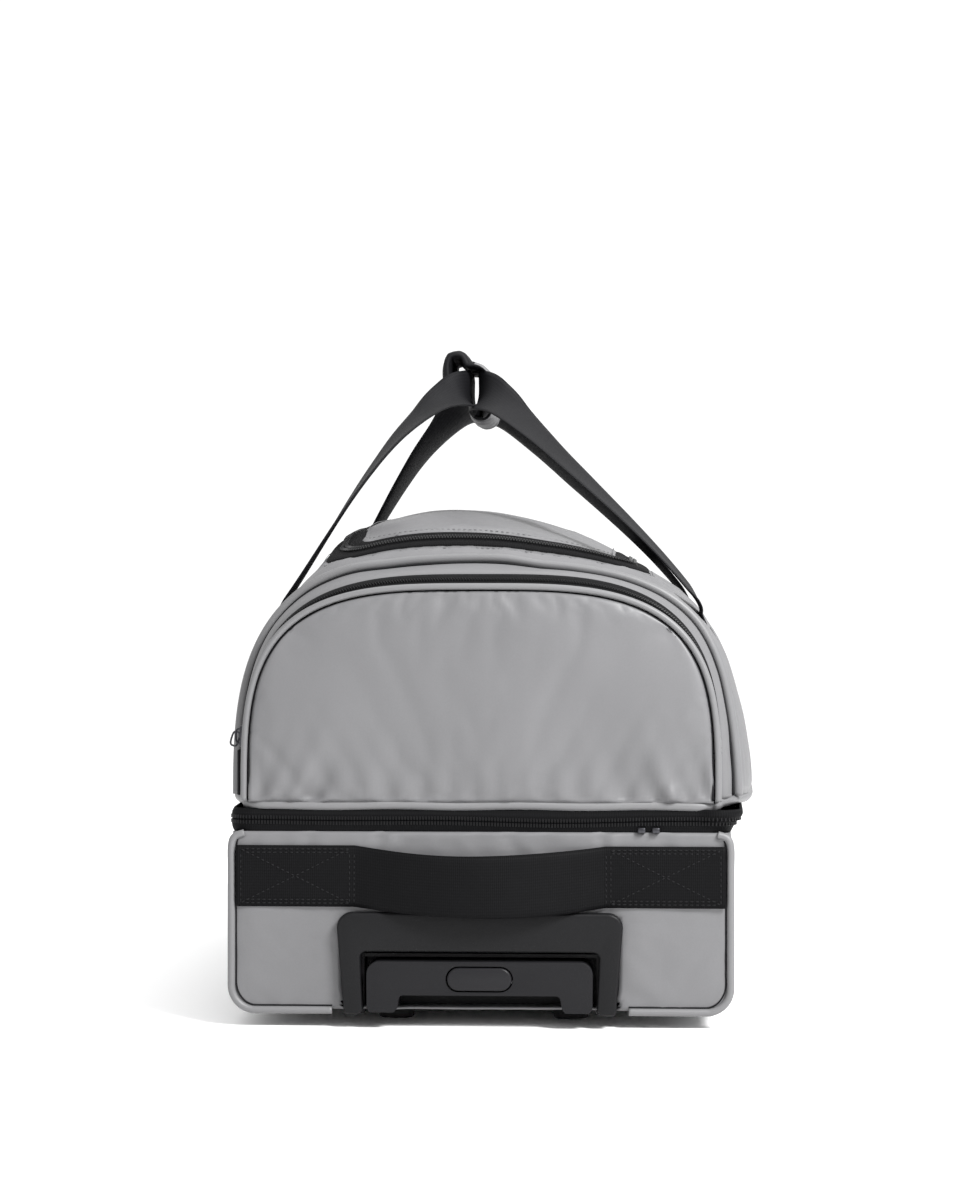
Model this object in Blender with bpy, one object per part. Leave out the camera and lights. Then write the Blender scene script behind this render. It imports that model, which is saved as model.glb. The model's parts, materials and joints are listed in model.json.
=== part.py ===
"""Rolling split-level duffel bag with a retractable trolley handle.

Metres, +Z up, +X to the right of someone facing the pull-handle end,
+Y from the pull-handle end towards the wheels. The bag stands on z = 0.
The letter d below is the distance back from the front plane, y = FRONT_Y + d.
"""
import math

import bmesh
import bpy
from mathutils import Matrix, Vector

# ---------------------------------------------------------------- dimensions
FRONT_Y = -0.3265             # front plane of the pocket and lower case
LENGTH = 0.6645               # fabric body, front plane to rear panel
GAP = 0.0003                  # gap kept between pieces that touch
CLOTH = 0.003                 # thickness of a fabric wall
PIPING_R = 0.0022

LOWER_BOTTOM = 0.012
LOWER_TOP = 0.136
LOWER_HALF = 0.174            # half-width at the two ends
LOWER_BULGE = 0.006           # extra half-width at mid-length
LOWER_CORNER_R = 0.016

ZIP_LOW = 0.1363              # lower edge of the mid zip
ZIP_MID = 0.1440
ZIP_HIGH = 0.1517
MID_PIPING_Z = 0.1545
MID_PIPING_R = 0.0025
UPPER_BOTTOM = 0.1573         # lower edge of the upper case's fabric
ARCH_BASE = 0.160             # where the arched section starts to close in

# stations along the upper case: d, half-width, top height, roundness exponent
STATIONS = (
    (0.0000, 0.1660, 0.3080, 3.4),
    (0.0360, 0.1705, 0.3190, 3.3),
    (0.0600, 0.1770, 0.3310, 3.0),
    (0.0850, 0.1820, 0.3400, 2.75),
    (0.1100, 0.1860, 0.3500, 2.55),
    (0.1500, 0.1895, 0.3560, 2.4),
    (0.2200, 0.1920, 0.3630, 2.3),
    (0.3500, 0.1930, 0.3690, 2.3),
    (0.4800, 0.1920, 0.3660, 2.3),
    (0.5500, 0.1895, 0.3610, 2.4),
    (0.6000, 0.1850, 0.3520, 2.55),
    (0.6300, 0.1810, 0.3420, 2.75),
    (0.6500, 0.1770, 0.3310, 3.0),
    (0.6645, 0.1720, 0.3190, 3.3),
)
FRONT_WALL_D = 0.0620         # main compartment's front wall and the pocket's back

LID_FRONT = 0.0846            # outer edge of the lid zip, front run
LID_REAR = 0.6045
LID_TAPE = 0.0120             # width of each of the lid zip's two tapes
LID_HALF = 0.1184             # outer edge of the lid zip, side runs
LID_CORNER = 0.030
LID_HINGE_Z = 0.3535

POCKET_HINGE_Z = 0.200        # the pocket panel folds forward at the zip ends
GUSSET_D = 0.0323             # front edge of the pocket's fabric gusset

HANDLE_PIVOT_X = 0.1585
HANDLE_PIVOT_Z = 0.2940
HANDLE_LEG_D = 0.165          # front legs; the rear ones mirror them
HANDLE_MID_D = 0.335
STRAP_W = 0.038
STRAP_T = 0.0028

TUBE_X = 0.067
TUBE_Z = 0.029
OUTER_R, OUTER_IR = 0.0090, 0.0079
MIDDLE_R, MIDDLE_IR = 0.0075, 0.0064
INNER_R, INNER_IR = 0.0060, 0.0048
ROD_R = 0.0021

WHEEL_R = 0.0375
WHEEL_W = 0.024
WHEEL_X = 0.146
WHEEL_D = 0.636
AXLE_R = 0.0040


def Y(d):
    return FRONT_Y + d


# ---------------------------------------------------------------- scene reset
for old in list(bpy.data.objects):
    bpy.data.objects.remove(old, do_unlink=True)

MATERIALS = {}


def material(name, rgb, rough, metal=0.0):
    if name not in MATERIALS:
        m = bpy.data.materials.new(name)
        m.use_nodes = True
        b = m.node_tree.nodes["Principled BSDF"]
        b.inputs["Base Color"].default_value = (*rgb, 1.0)
        b.inputs["Roughness"].default_value = rough
        b.inputs["Metallic"].default_value = metal
        MATERIALS[name] = m
    return MATERIALS[name]


FABRIC = ("coated_fabric", (0.36, 0.36, 0.37), 0.62, 0.0)
PIPE = ("piping_grey", (0.40, 0.40, 0.41), 0.55, 0.0)
WEB = ("black_webbing", (0.016, 0.016, 0.018), 0.70, 0.0)
TAPE = ("zip_tape", (0.018, 0.018, 0.020), 0.75, 0.0)
PLASTIC = ("black_plastic", (0.035, 0.034, 0.037), 0.45, 0.0)
BUTTON = ("button_plastic", (0.045, 0.044, 0.048), 0.40, 0.0)
ALU = ("aluminium_tube", (0.55, 0.56, 0.58), 0.30, 1.0)
STEEL = ("steel", (0.45, 0.45, 0.47), 0.28, 1.0)
SLIDER = ("slider_metal", (0.06, 0.06, 0.065), 0.35, 1.0)
RUBBER = ("rubber_tyre", (0.020, 0.020, 0.021), 0.80, 0.0)
FOOT = ("rubber_foot", (0.022, 0.022, 0.023), 0.75, 0.0)
LINING = ("divider_board", (0.05, 0.05, 0.055), 0.80, 0.0)


# ---------------------------------------------------------------- mesh helpers
def new_object(name, bm, mat, smooth_angle=None):
    bmesh.ops.recalc_face_normals(bm, faces=bm.faces[:])
    me = bpy.data.meshes.new(name)
    bm.to_mesh(me)
    bm.free()
    ob = bpy.data.objects.new(name, me)
    bpy.context.collection.objects.link(ob)
    if mat is not None:
        me.materials.append(material(*mat))
    if smooth_angle is not None:
        me.shade_smooth()
        me.set_sharp_from_angle(angle=math.radians(smooth_angle))
    return ob


def grid_solid(name, outer, inner, mat, closed=False, smooth=40):
    """A sheet with thickness. outer and inner are rows of points; closed
    joins each row's last point to its first."""
    bm = bmesh.new()
    rows, cols = len(outer), len(outer[0])
    vo = [[bm.verts.new(p) for p in r] for r in outer]
    vi = [[bm.verts.new(p) for p in r] for r in inner]
    last = cols if closed else cols - 1
    for r in range(rows - 1):
        for c in range(last):
            n = (c + 1) % cols
            bm.faces.new((vo[r][c], vo[r][n], vo[r + 1][n], vo[r + 1][c]))
            bm.faces.new((vi[r][c], vi[r + 1][c], vi[r + 1][n], vi[r][n]))
    for c in range(last):
        n = (c + 1) % cols
        bm.faces.new((vo[0][c], vi[0][c], vi[0][n], vo[0][n]))
        bm.faces.new((vo[-1][c], vo[-1][n], vi[-1][n], vi[-1][c]))
    if not closed:
        for r in range(rows - 1):
            bm.faces.new((vo[r][0], vo[r + 1][0], vi[r + 1][0], vi[r][0]))
            bm.faces.new((vo[r][-1], vi[r][-1], vi[r + 1][-1], vo[r + 1][-1]))
    return new_object(name, bm, mat, smooth)


def loft(name, rings, mat, smooth=40):
    """Closed solid through rings of equal point counts, capped at both ends."""
    bm = bmesh.new()
    vs = [[bm.verts.new(p) for p in ring] for ring in rings]
    n = len(rings[0])
    for a, b in zip(vs, vs[1:]):
        for i in range(n):
            j = (i + 1) % n
            bm.faces.new((a[i], a[j], b[j], b[i]))
    bm.faces.new(vs[0])
    bm.faces.new(vs[-1])
    return new_object(name, bm, mat, smooth)


def prism(name, plan, z0, z1, mat=None, smooth=None):
    return loft(name, [[(x, y, z0) for x, y in plan],
                       [(x, y, z1) for x, y in plan]], mat, smooth)


def box(name, x0, x1, d0, d1, z0, z1, mat=None, bevel=0.0, segments=2):
    bm = bmesh.new()
    bmesh.ops.create_cube(bm, size=1.0)
    for v in bm.verts:
        v.co = Vector((x0 if v.co.x < 0 else x1,
                       Y(d0) if v.co.y < 0 else Y(d1),
                       z0 if v.co.z < 0 else z1))
    if bevel:
        bmesh.ops.bevel(bm, geom=bm.edges[:], offset=bevel, segments=segments,
                        profile=0.5, affect='EDGES', clamp_overlap=True)
    return new_object(name, bm, mat, 35 if bevel else None)


def turned(name, profile, centre, axis, steps, mat, smooth=40):
    """Solid of revolution about axis through centre. profile is a closed loop
    of (radius, position along the axis) that never touches the axis, or an
    open one whose two ends lie on it."""
    bm = bmesh.new()
    rot = Vector((0, 0, 1)).rotation_difference(Vector(axis)).to_matrix()
    open_ends = profile[0][0] < 1e-9
    rings = []
    for r, h in profile:
        if r < 1e-9:
            rings.append([bm.verts.new(Vector(centre) + rot @ Vector((0, 0, h)))])
        else:
            rings.append([bm.verts.new(Vector(centre) + rot @ Vector((
                r * math.cos(2 * math.pi * k / steps),
                r * math.sin(2 * math.pi * k / steps), h)))
                for k in range(steps)])
    pairs = list(zip(rings, rings[1:]))
    if not open_ends:
        pairs.append((rings[-1], rings[0]))
    for a, b in pairs:
        for k in range(steps):
            j = (k + 1) % steps
            if len(a) == 1:
                bm.faces.new((a[0], b[k], b[j]))
            elif len(b) == 1:
                bm.faces.new((a[k], a[j], b[0]))
            else:
                bm.faces.new((a[k], a[j], b[j], b[k]))
    return new_object(name, bm, mat, smooth)


def rod(name, r, p0, p1, mat, steps=20, smooth=40):
    a, b = Vector(p0), Vector(p1)
    return turned(name, [(0, 0), (r, 0), (r, (b - a).length), (0, (b - a).length)],
                  a, (b - a).normalized(), steps, mat, smooth)


def tube(name, r, ir, x, d0, d1, z, mat, steps=20):
    return turned(name, [(r, 0), (r, d1 - d0), (ir, d1 - d0), (ir, 0)],
                  (x, Y(d0), z), (0, 1, 0), steps, mat)


def sweep(name, path, radius, sides, mat, closed=False):
    """Round cord along a path."""
    pts = [Vector(p) for p in path]
    n = len(pts)
    bm = bmesh.new()
    rings = []
    ref = None
    for i, p in enumerate(pts):
        a = pts[(i - 1) % n] if (closed or i) else p
        b = pts[(i + 1) % n] if (closed or i < n - 1) else p
        t = (b - a).normalized()
        if ref is None:
            ref = t.orthogonal().normalized()
        ref = (ref - t * ref.dot(t)).normalized()
        side = t.cross(ref)
        # a mitred ring keeps the cord's width through a corner
        half = 1.0
        if closed or 0 < i < n - 1:
            u, v = (p - a).normalized(), (b - p).normalized()
            half = 1.0 / max(0.6, math.sqrt(max(0.0, (1 + u.dot(v)) / 2)))
        rings.append([bm.verts.new(p + (ref * math.cos(2 * math.pi * k / sides)
                                        + side * math.sin(2 * math.pi * k / sides))
                                   * radius * (1.0 + (half - 1.0) * 0.5))
                      for k in range(sides)])
    count = n if closed else n - 1
    for i in range(count):
        a, b = rings[i], rings[(i + 1) % n]
        shift = 0
        if closed and i == n - 1:
            shift = min(range(sides), key=lambda s: (a[0].co - b[s].co).length)
        for k in range(sides):
            j = (k + 1) % sides
            bm.faces.new((a[k], a[j], b[(j + shift) % sides], b[(k + shift) % sides]))
    if not closed:
        bm.faces.new(rings[0])
        bm.faces.new(rings[-1])
    return new_object(name, bm, mat, 60)


def cut(ob, cutter, operation='DIFFERENCE'):
    """Apply an exact Boolean and drop the cutter."""
    mod = ob.modifiers.new("cut", 'BOOLEAN')
    mod.operation = operation
    mod.object = cutter
    mod.solver = 'EXACT'
    bpy.context.view_layer.update()
    me = bpy.data.meshes.new_from_object(
        ob.evaluated_get(bpy.context.evaluated_depsgraph_get()))
    ob.modifiers.clear()
    old = ob.data
    ob.data = me
    bpy.data.meshes.remove(old)
    old = cutter.data
    bpy.data.objects.remove(cutter, do_unlink=True)
    bpy.data.meshes.remove(old)
    if len(me.materials) > 1:
        keep = me.materials[0]
        me.materials.clear()
        me.materials.append(keep)
    me.set_sharp_from_angle(angle=math.radians(40))
    return ob


def tidy(ob):
    """Weld coincident points and drop slivers left by a cut."""
    bm = bmesh.new()
    bm.from_mesh(ob.data)
    bmesh.ops.remove_doubles(bm, verts=bm.verts[:], dist=2e-6)
    bmesh.ops.dissolve_degenerate(bm, edges=bm.edges[:], dist=2e-6)
    bmesh.ops.recalc_face_normals(bm, faces=bm.faces[:])
    bm.to_mesh(ob.data)
    bm.free()
    return ob


def hinge_point(ob, point):
    """Put a moving piece's origin on its joint axis."""
    p = Vector(point)
    ob.data.transform(Matrix.Translation(-p))
    ob.location = p
    return ob


# ---------------------------------------------------------------- body shape
def station(d):
    s = STATIONS
    if d <= s[0][0]:
        return s[0][1:]
    for a, b in zip(s, s[1:]):
        if d <= b[0]:
            k = (d - a[0]) / (b[0] - a[0])
            return tuple(a[i] + (b[i] - a[i]) * k for i in (1, 2, 3))
    return s[-1][1:]


def half_width(d, z, grow=0.0):
    w, top, n = station(d)
    w, top = w + grow, top + grow
    if z <= ARCH_BASE:
        return w
    t = min(1.0, (z - ARCH_BASE) / (top - ARCH_BASE))
    return w * (1.0 - t ** n) ** (1.0 / n)


def top_height(d, x, grow=0.0):
    w, top, n = station(d)
    w, top = w + grow, top + grow
    t = min(1.0, abs(x) / w)
    return ARCH_BASE + (top - ARCH_BASE) * (1.0 - t ** n) ** (1.0 / n)


def arch(d, z_low, count, grow=0.0):
    """Left-to-right outline of the section at d, from z_low over the top."""
    w, top, n = station(d)
    w, top = w + grow, top + grow
    pts = []
    start = 0.0
    if z_low > ARCH_BASE:
        start = math.asin(((z_low - ARCH_BASE) / (top - ARCH_BASE)) ** (n / 2))
    else:
        pts.append((-w, z_low))
    for i in range(count + 1):
        # even spacing along the outline needs more angle near the sides
        a = start + (math.pi - 2 * start) * i / count
        c, s = math.cos(a), math.sin(a)
        pts.append((-math.copysign(abs(c) ** (2 / n), c) * w,
                    ARCH_BASE + max(0.0, s) ** (2 / n) * (top - ARCH_BASE)))
    if z_low <= ARCH_BASE:
        pts.append((w, z_low))
    return pts


def normals2(pts):
    out = []
    for i, p in enumerate(pts):
        a = pts[max(0, i - 1)]
        b = pts[min(len(pts) - 1, i + 1)]
        tx, ty = b[0] - a[0], b[1] - a[1]
        m = math.hypot(tx, ty) or 1.0
        out.append((-ty / m, tx / m))
    return out


def band(name, d0, d1, z_low, off_in, off_out, mat, count=26, rows=2):
    """Strip that follows the arched outline between d0 and d1."""
    outer, inner = [], []
    for r in range(rows):
        d = d0 + (d1 - d0) * r / (rows - 1)
        pts = arch(d, z_low, count)
        nn = normals2(pts)
        outer.append([(p[0] + q[0] * off_out, Y(d), max(p[1] + q[1] * off_out, z_low))
                      for p, q in zip(pts, nn)])
        inner.append([(p[0] + q[0] * off_in, Y(d), max(p[1] + q[1] * off_in, z_low))
                      for p, q in zip(pts, nn)])
    return grid_solid(name, outer, inner, mat)


def surface_patch(name, d0, d1, s0, s1, off0, off1, mat, rows=4, cols=5, by='x', side=1):
    """Thick patch on the upper case between d0 and d1. by='x' spans x from s0
    to s1 over the top; by='z' spans heights s0 to s1 on one side."""
    outer, inner = [], []
    for r in range(rows):
        d = d0 + (d1 - d0) * r / (rows - 1)
        ro, ri = [], []
        for c in range(cols):
            s = s0 + (s1 - s0) * c / (cols - 1)
            if by == 'x':
                p = Vector((s, 0, top_height(d, s)))
                q = Vector((s + 1e-4, 0, top_height(d, s + 1e-4)))
                t = (q - p).normalized()
            else:
                p = Vector((side * half_width(d, s), 0, s))
                q = Vector((side * half_width(d, s - 1e-4), 0, s - 1e-4))
                t = (q - p).normalized() * (1 if side > 0 else -1)
            nrm = Vector((-t.z, 0, t.x))
            if by == 'z':
                nrm = nrm if nrm.x * side > 0 else -nrm
            p.y = Y(d)
            ro.append(p + nrm * off1)
            ri.append(p + nrm * off0)
        outer.append(ro)
        inner.append(ri)
    return grid_solid(name, outer, inner, mat)


def lower_half(d):
    k = max(0.0, min(1.0, d / LENGTH))
    return LOWER_HALF + LOWER_BULGE * math.sin(math.pi * k) ** 0.7


def plan_u(inset, d_front, d_rear, corner, samples=10):
    """U-shaped plan line: rear left, round the front, rear right."""
    left = []
    for i in range(samples + 1):
        d = d_rear + (d_front + corner - d_rear) * i / samples
        left.append((-(lower_half(d) - inset), Y(d)))
    w = lower_half(d_front + corner) - inset
    for i in range(1, 7):
        a = math.pi / 2 * i / 6
        left.append((-(w - corner) - corner * math.cos(a),
                     Y(d_front + corner) - corner * math.sin(a)))
    right = [(-x, y) for x, y in reversed(left)]
    return left + right


def extruded_line(name, line, z0, z1, off_in, off_out, mat, closed=False):
    """Upright strip standing on a plan line, with thickness to one side."""
    n = len(line)
    nn = []
    for i, p in enumerate(line):
        a = line[(i - 1) % n] if (closed or i) else p
        b = line[(i + 1) % n] if (closed or i < n - 1) else p
        tx, ty = b[0] - a[0], b[1] - a[1]
        m = math.hypot(tx, ty)
        nn.append((ty / m, -tx / m))
    # outward is away from the middle of the bag
    mid = sum(p[0] * q[0] + p[1] * q[1] for p, q in zip(line, nn))
    sg = 1 if mid > 0 else -1
    outer = [[(p[0] + sg * q[0] * off_out, p[1] + sg * q[1] * off_out, z)
              for p, q in zip(line, nn)] for z in (z0, z1)]
    inner = [[(p[0] + sg * q[0] * off_in, p[1] + sg * q[1] * off_in, z)
              for p, q in zip(line, nn)] for z in (z0, z1)]
    return grid_solid(name, outer, inner, mat, closed)


# ================================================================ lower case
def lower_ring(d, grow, bottom, top, r):
    w = lower_half(d) - grow
    pts = [(-w, top)]
    for i in range(5):
        a = math.pi / 2 * i / 4
        pts.append((-w + r - r * math.cos(a), bottom + r - r * math.sin(a)))
    pts += [(-x, z) for x, z in reversed(pts)]
    return [(x, Y(d), z) for x, z in pts]


lower_ds = [0.002 + (LENGTH - 0.002) * i / 10 for i in range(11)]
lower_shell = loft("lower_shell", [lower_ring(d, 0, LOWER_BOTTOM, LOWER_TOP,
                                              LOWER_CORNER_R) for d in lower_ds], FABRIC)
inner_ds = [0.002 + CLOTH + (LENGTH - 0.002 - 2 * CLOTH) * i / 10 for i in range(11)]
cut(lower_shell, loft("c", [lower_ring(d, CLOTH, LOWER_BOTTOM + CLOTH, LOWER_TOP + 0.02,
                                       LOWER_CORNER_R - CLOTH) for d in inner_ds], None))
cut(lower_shell, box("c", -0.1005, 0.1005, -0.02, 0.0070, -0.01, 0.0812))
cut(lower_shell, box("c", -0.0850, 0.0850, -0.02, 0.0263, -0.01, 0.0512))
for sx in (-1, 1):
    xa, xb = sorted((sx * 0.1235, sx * 0.20))
    cut(lower_shell, box("c", xa, xb, 0.5900, 0.70, -0.01, 0.0920))
tidy(lower_shell)

# stiff floor of the chassis, clear of the handle well and the wheel housings
tray = []
for i in range(9):
    d = 0.0268 + (0.5890 - 0.0268) * i / 8
    tray.append((-(lower_half(d) - 0.0172), Y(d)))
tray += [(-0.1230, Y(0.5890)), (-0.1230, Y(0.6600))]
tray += [(-x, y) for x, y in reversed(tray)]
prism("chassis_tray", tray, 0.0153, 0.0183, LINING)

# cover over the telescopic tubes: an upturned channel
cover = box("trolley_cover", -0.0825, 0.0825, 0.0268, 0.6250, 0.0187, 0.0432, LINING)
cut(cover, box("c", -0.0803, 0.0803, 0.0, 0.70, 0.0, 0.0408))
tidy(cover)

# ---------------------------------------------------------------- pull end
bezel = box("handle_bezel", -0.1000, 0.1000, -0.0080, 0.0032, 0.0090, 0.0805, PLASTIC,
            bevel=0.0028, segments=2)
cut(bezel, box("c", -0.0850, 0.0850, -0.05, 0.05, -0.02, 0.0530, bevel=0.004, segments=2))
tidy(bezel)

well = box("handle_well", -0.0845, 0.0845, 0.0036, 0.0259, 0.0090, 0.0508, PLASTIC)
cut(well, box("c", -0.0815, 0.0815, -0.01, 0.0228, -0.01, 0.0485))
for sx in (-1, 1):
    cut(well, rod("c", OUTER_IR, (sx * TUBE_X, Y(0.01), TUBE_Z),
                  (sx * TUBE_X, Y(0.04), TUBE_Z), None))
tidy(well)

for side, sx in (("left", -1), ("right", 1)):
    tube("outer_tube_" + side, OUTER_R, OUTER_IR, sx * TUBE_X, 0.0263, 0.6015, TUBE_Z, ALU)
    tube("middle_tube_" + side, MIDDLE_R, MIDDLE_IR, sx * TUBE_X, 0.0265, 0.5000, TUBE_Z, ALU)
    tube("inner_tube_" + side, INNER_R, INNER_IR, sx * TUBE_X, 0.0203, 0.4800, TUBE_Z, ALU)

bracket = box("tube_end_bracket", -0.0795, 0.0795, 0.6020, 0.6180, 0.0187, 0.0400, PLASTIC,
              bevel=0.002, segments=1)
for sx in (-1, 1):
    cut(bracket, rod("c", OUTER_IR - 0.0005, (sx * TUBE_X, Y(0.590), TUBE_Z),
                     (sx * TUBE_X, Y(0.610), TUBE_Z), None), 'UNION')
tidy(bracket)

# pull grip: an upturned U with a finger recess, hollow behind the button
grip = box("grip", -0.0790, 0.0790, -0.0100, 0.0200, 0.0110, 0.0470, PLASTIC,
           bevel=0.0055, segments=3)
cut(grip, box("c", -0.0560, 0.0560, -0.05, 0.05, -0.02, 0.0230, bevel=0.003, segments=2))
cut(grip, box("c", -0.0235, 0.0235, -0.05, 0.0133, 0.0257, 0.0435, bevel=0.005, segments=2))
cut(grip, box("c", -0.0715, 0.0715, 0.0086, 0.0176, 0.0255, 0.0325))
for sx in (-1, 1):
    cut(grip, rod("c", ROD_R + 0.0006, (sx * TUBE_X, Y(0.0150), TUBE_Z),
                  (sx * TUBE_X, Y(0.0300), TUBE_Z), None, steps=12))
tidy(grip)

button = box("release_button", -0.0228, 0.0228, -0.0116, 0.0089, 0.0264, 0.0428, BUTTON,
             bevel=0.0045, segments=3)
hinge_point(button, (0, Y(-0.0116), 0.0345))

linkage = box("release_linkage", -0.0700, 0.0700, 0.0092, 0.0130, 0.0268, 0.0312, STEEL)
for sx in (-1, 1):
    cut(linkage, rod("c", ROD_R, (sx * TUBE_X, Y(0.0110), TUBE_Z),
                     (sx * TUBE_X, Y(0.4700), TUBE_Z), None, steps=10), 'UNION')
tidy(linkage)

# ---------------------------------------------------------------- running gear
for side, sx in (("left", -1), ("right", 1)):
    foot = box("front_foot_" + side, sx * 0.0625 - 0.0125, sx * 0.0625 + 0.0125,
               0.0420, 0.0640, 0.0, 0.0117, FOOT, bevel=0.003, segments=2)

    plan = []
    d_front, d_back = 0.5904, LENGTH - 0.0003
    xi, xo, rr = 0.1239, 0.1742, 0.014
    plan.append((xi, Y(d_front)))
    plan.append((xo + 0.0015, Y(d_front)))
    for i in range(5):
        a = math.pi / 2 * i / 4
        plan.append((xo - rr + rr * math.cos(a), Y(d_back) - rr + rr * math.sin(a)))
    plan.append((xi, Y(d_back)))
    plan = [(sx * x, y) for x, y in plan]
    housing = prism("wheel_housing_" + side, plan, 0.0125, 0.0916, PLASTIC, 35)
    cut(housing, rod("c", 0.0405, (sx * 0.1316, Y(WHEEL_D), WHEEL_R),
                     (sx * 0.1604, Y(WHEEL_D), WHEEL_R), None, steps=28))
    cut(housing, rod("c", AXLE_R + 0.0003, (sx * 0.1200, Y(WHEEL_D), WHEEL_R),
                     (sx * 0.1700, Y(WHEEL_D), WHEEL_R), None, steps=20))
    tidy(housing)
    rod("axle_" + side, AXLE_R, (sx * 0.1262, Y(WHEEL_D), WHEEL_R),
        (sx * 0.1680, Y(WHEEL_D), WHEEL_R), STEEL, steps=20)
    h = WHEEL_W / 2
    hub = turned("wheel_hub_" + side,
                 [(0.0045, -h), (0.0095, -h), (0.0110, -h + 0.004), (0.0230, -h + 0.004),
                  (0.0243, -h + 0.0015), (0.0272, -h + 0.0015),
                  (0.0272, h - 0.0015), (0.0243, h - 0.0015), (0.0230, h - 0.004),
                  (0.0110, h - 0.004), (0.0095, h), (0.0045, h)],
                 (0, 0, 0), (1, 0, 0), 24, PLASTIC)
    hub.location = (sx * WHEEL_X, Y(WHEEL_D), WHEEL_R)
    tyre = turned("tyre_" + side,
                  [(0.0275, -h + 0.001), (0.0345, -h), (0.0366, -h + 0.0025),
                   (WHEEL_R, -h + 0.0070), (WHEEL_R, h - 0.0070),
                   (0.0366, h - 0.0025), (0.0345, h), (0.0275, h - 0.001)],
                  (0, 0, 0), (1, 0, 0), 32, RUBBER)
    tyre.location = (sx * WHEEL_X, Y(WHEEL_D), WHEEL_R)

box("rear_kick_plate", -0.1200, 0.1200, LENGTH + 0.0003, LENGTH + 0.0040, 0.0180, 0.0900,
    PLASTIC, bevel=0.0015, segments=1)

# piping on the lower case's front edges, from the zip down to the bezel
off = 0.0019
for side, sx in (("left", -1), ("right", 1)):
    w, r = lower_half(0.002) + off, LOWER_CORNER_R + off
    path = [(sx * w, Y(0.002 - off), 0.1335)]
    for i in range(9):
        a = math.pi / 2 * i / 8
        path.append((sx * (w - r + r * math.cos(a)), Y(0.002 - off),
                     LOWER_BOTTOM - off + r - r * math.sin(a)))
    path.append((sx * 0.1040, Y(0.002 - off), LOWER_BOTTOM - off))
    sweep("lower_piping_" + side, path, PIPING_R, 8, PIPE)

# grab handle: webbing sewn down at both ends, bowed out and sagging between
line, drops = [], []
for i in range(25):
    u = -1 + 2 * i / 24
    x = 0.1705 * u
    k = max(0.0, 1 - (abs(x) / 0.088) ** 2)
    line.append((x, Y(0.0017 - 0.0196 * k ** 1.3)))
    drops.append(-0.0055 * k)
grab = []
for dz in (0.0840, 0.1270):
    grab.append([(p[0], p[1] - 0.0026, dz + q) for p, q in zip(line, drops)])
back = []
for dz in (0.0840, 0.1270):
    back.append([(p[0], p[1], dz + q) for p, q in zip(line, drops)])
grid_solid("grab_handle", grab, back, WEB)

# ---------------------------------------------------------------- mid zip
u_line = plan_u(0.0, 0.0020, LENGTH - 0.004, 0.016)
extruded_line("mid_zip_lower_tape", u_line, ZIP_LOW, ZIP_MID - 0.0002, -0.0022, 0.0, TAPE)
extruded_line("mid_zip_upper_tape", u_line, ZIP_MID + 0.0002, ZIP_HIGH, -0.0022, 0.0, TAPE)

# strip of the fabric hinge along the rear rim of the lower case
box("rear_hinge_strip", -0.1590, 0.1590, LENGTH - 0.0022, LENGTH, ZIP_LOW, ZIP_MID - 0.0005, FABRIC)

mid_x = -(lower_half(0.33) + 0.0003)
slider = box("mid_zip_slider", mid_x - 0.0042, mid_x, 0.4280, 0.4440, 0.1385, 0.1495, SLIDER,
             bevel=0.0015, segments=2)
hinge_point(slider, (mid_x, Y(0.436), 0.144))
pull = box("mid_zip_pull", mid_x - 0.0036, mid_x - 0.0006, 0.4315, 0.4405, 0.1000, 0.1366,
           FABRIC, bevel=0.0012, segments=1)
hinge_point(pull, (mid_x - 0.0021, Y(0.436), 0.1366))

# ================================================================ upper case
def upper_ring(d, shrink, z_low):
    w, top, n = station(d)
    pts = arch(d, z_low, 28, -shrink)
    return [(x, Y(d), z) for x, z in pts]


shell_ds = [FRONT_WALL_D] + [s[0] for s in STATIONS if s[0] > 0.07]


def full_loft(mat, name):
    return loft(name, [upper_ring(d, 0.0, UPPER_BOTTOM) for d in shell_ds], mat)


def core(name="core"):
    ds = [FRONT_WALL_D + CLOTH] + shell_ds[1:-1] + [LENGTH - CLOTH]
    return loft(name, [upper_ring(d, CLOTH, UPPER_BOTTOM - 0.02) for d in ds], None)


def lid_plan(inset, gap=0.0, rear=LID_REAR):
    """Plan outline of the lid zip: square at the rear, rounded at the front."""
    hw = LID_HALF - inset + gap
    df = LID_FRONT + inset - gap
    r = max(0.010, LID_CORNER - inset * 0.6)
    pts = [(-hw, Y(rear))]
    for i in range(7):
        a = math.pi / 2 * i / 6
        pts.append((-hw + r - r * math.cos(a), Y(df + r - r * math.sin(a))))
    pts += [(-x, y) for x, y in reversed(pts)]
    return pts


upper = full_loft(FABRIC, "upper_shell")
cut(upper, core())
cut(upper, prism("c", lid_plan(0.0, GAP, LID_REAR + GAP), 0.25, 0.45))
tidy(upper)

body_tape = full_loft(TAPE, "lid_zip_body_tape")
cut(body_tape, core())
cut(body_tape, prism("c", lid_plan(0.0), 0.25, 0.45), 'INTERSECT')
cut(body_tape, prism("c", lid_plan(LID_TAPE, GAP, LID_REAR + 0.05), 0.20, 0.50))
tidy(body_tape)

lid_tape = full_loft(TAPE, "lid_zip_lid_tape")
cut(lid_tape, core())
cut(lid_tape, prism("c", lid_plan(LID_TAPE), 0.25, 0.45), 'INTERSECT')
cut(lid_tape, prism("c", lid_plan(2 * LID_TAPE, GAP, LID_REAR + 0.05), 0.20, 0.50))
tidy(lid_tape)
hinge_point(lid_tape, (0, Y(LID_REAR), LID_HINGE_Z))

lid = full_loft(FABRIC, "lid_panel")
cut(lid, core())
cut(lid, prism("c", lid_plan(2 * LID_TAPE), 0.25, 0.45), 'INTERSECT')
tidy(lid)
hinge_point(lid, (0, Y(LID_REAR), LID_HINGE_Z))

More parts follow.
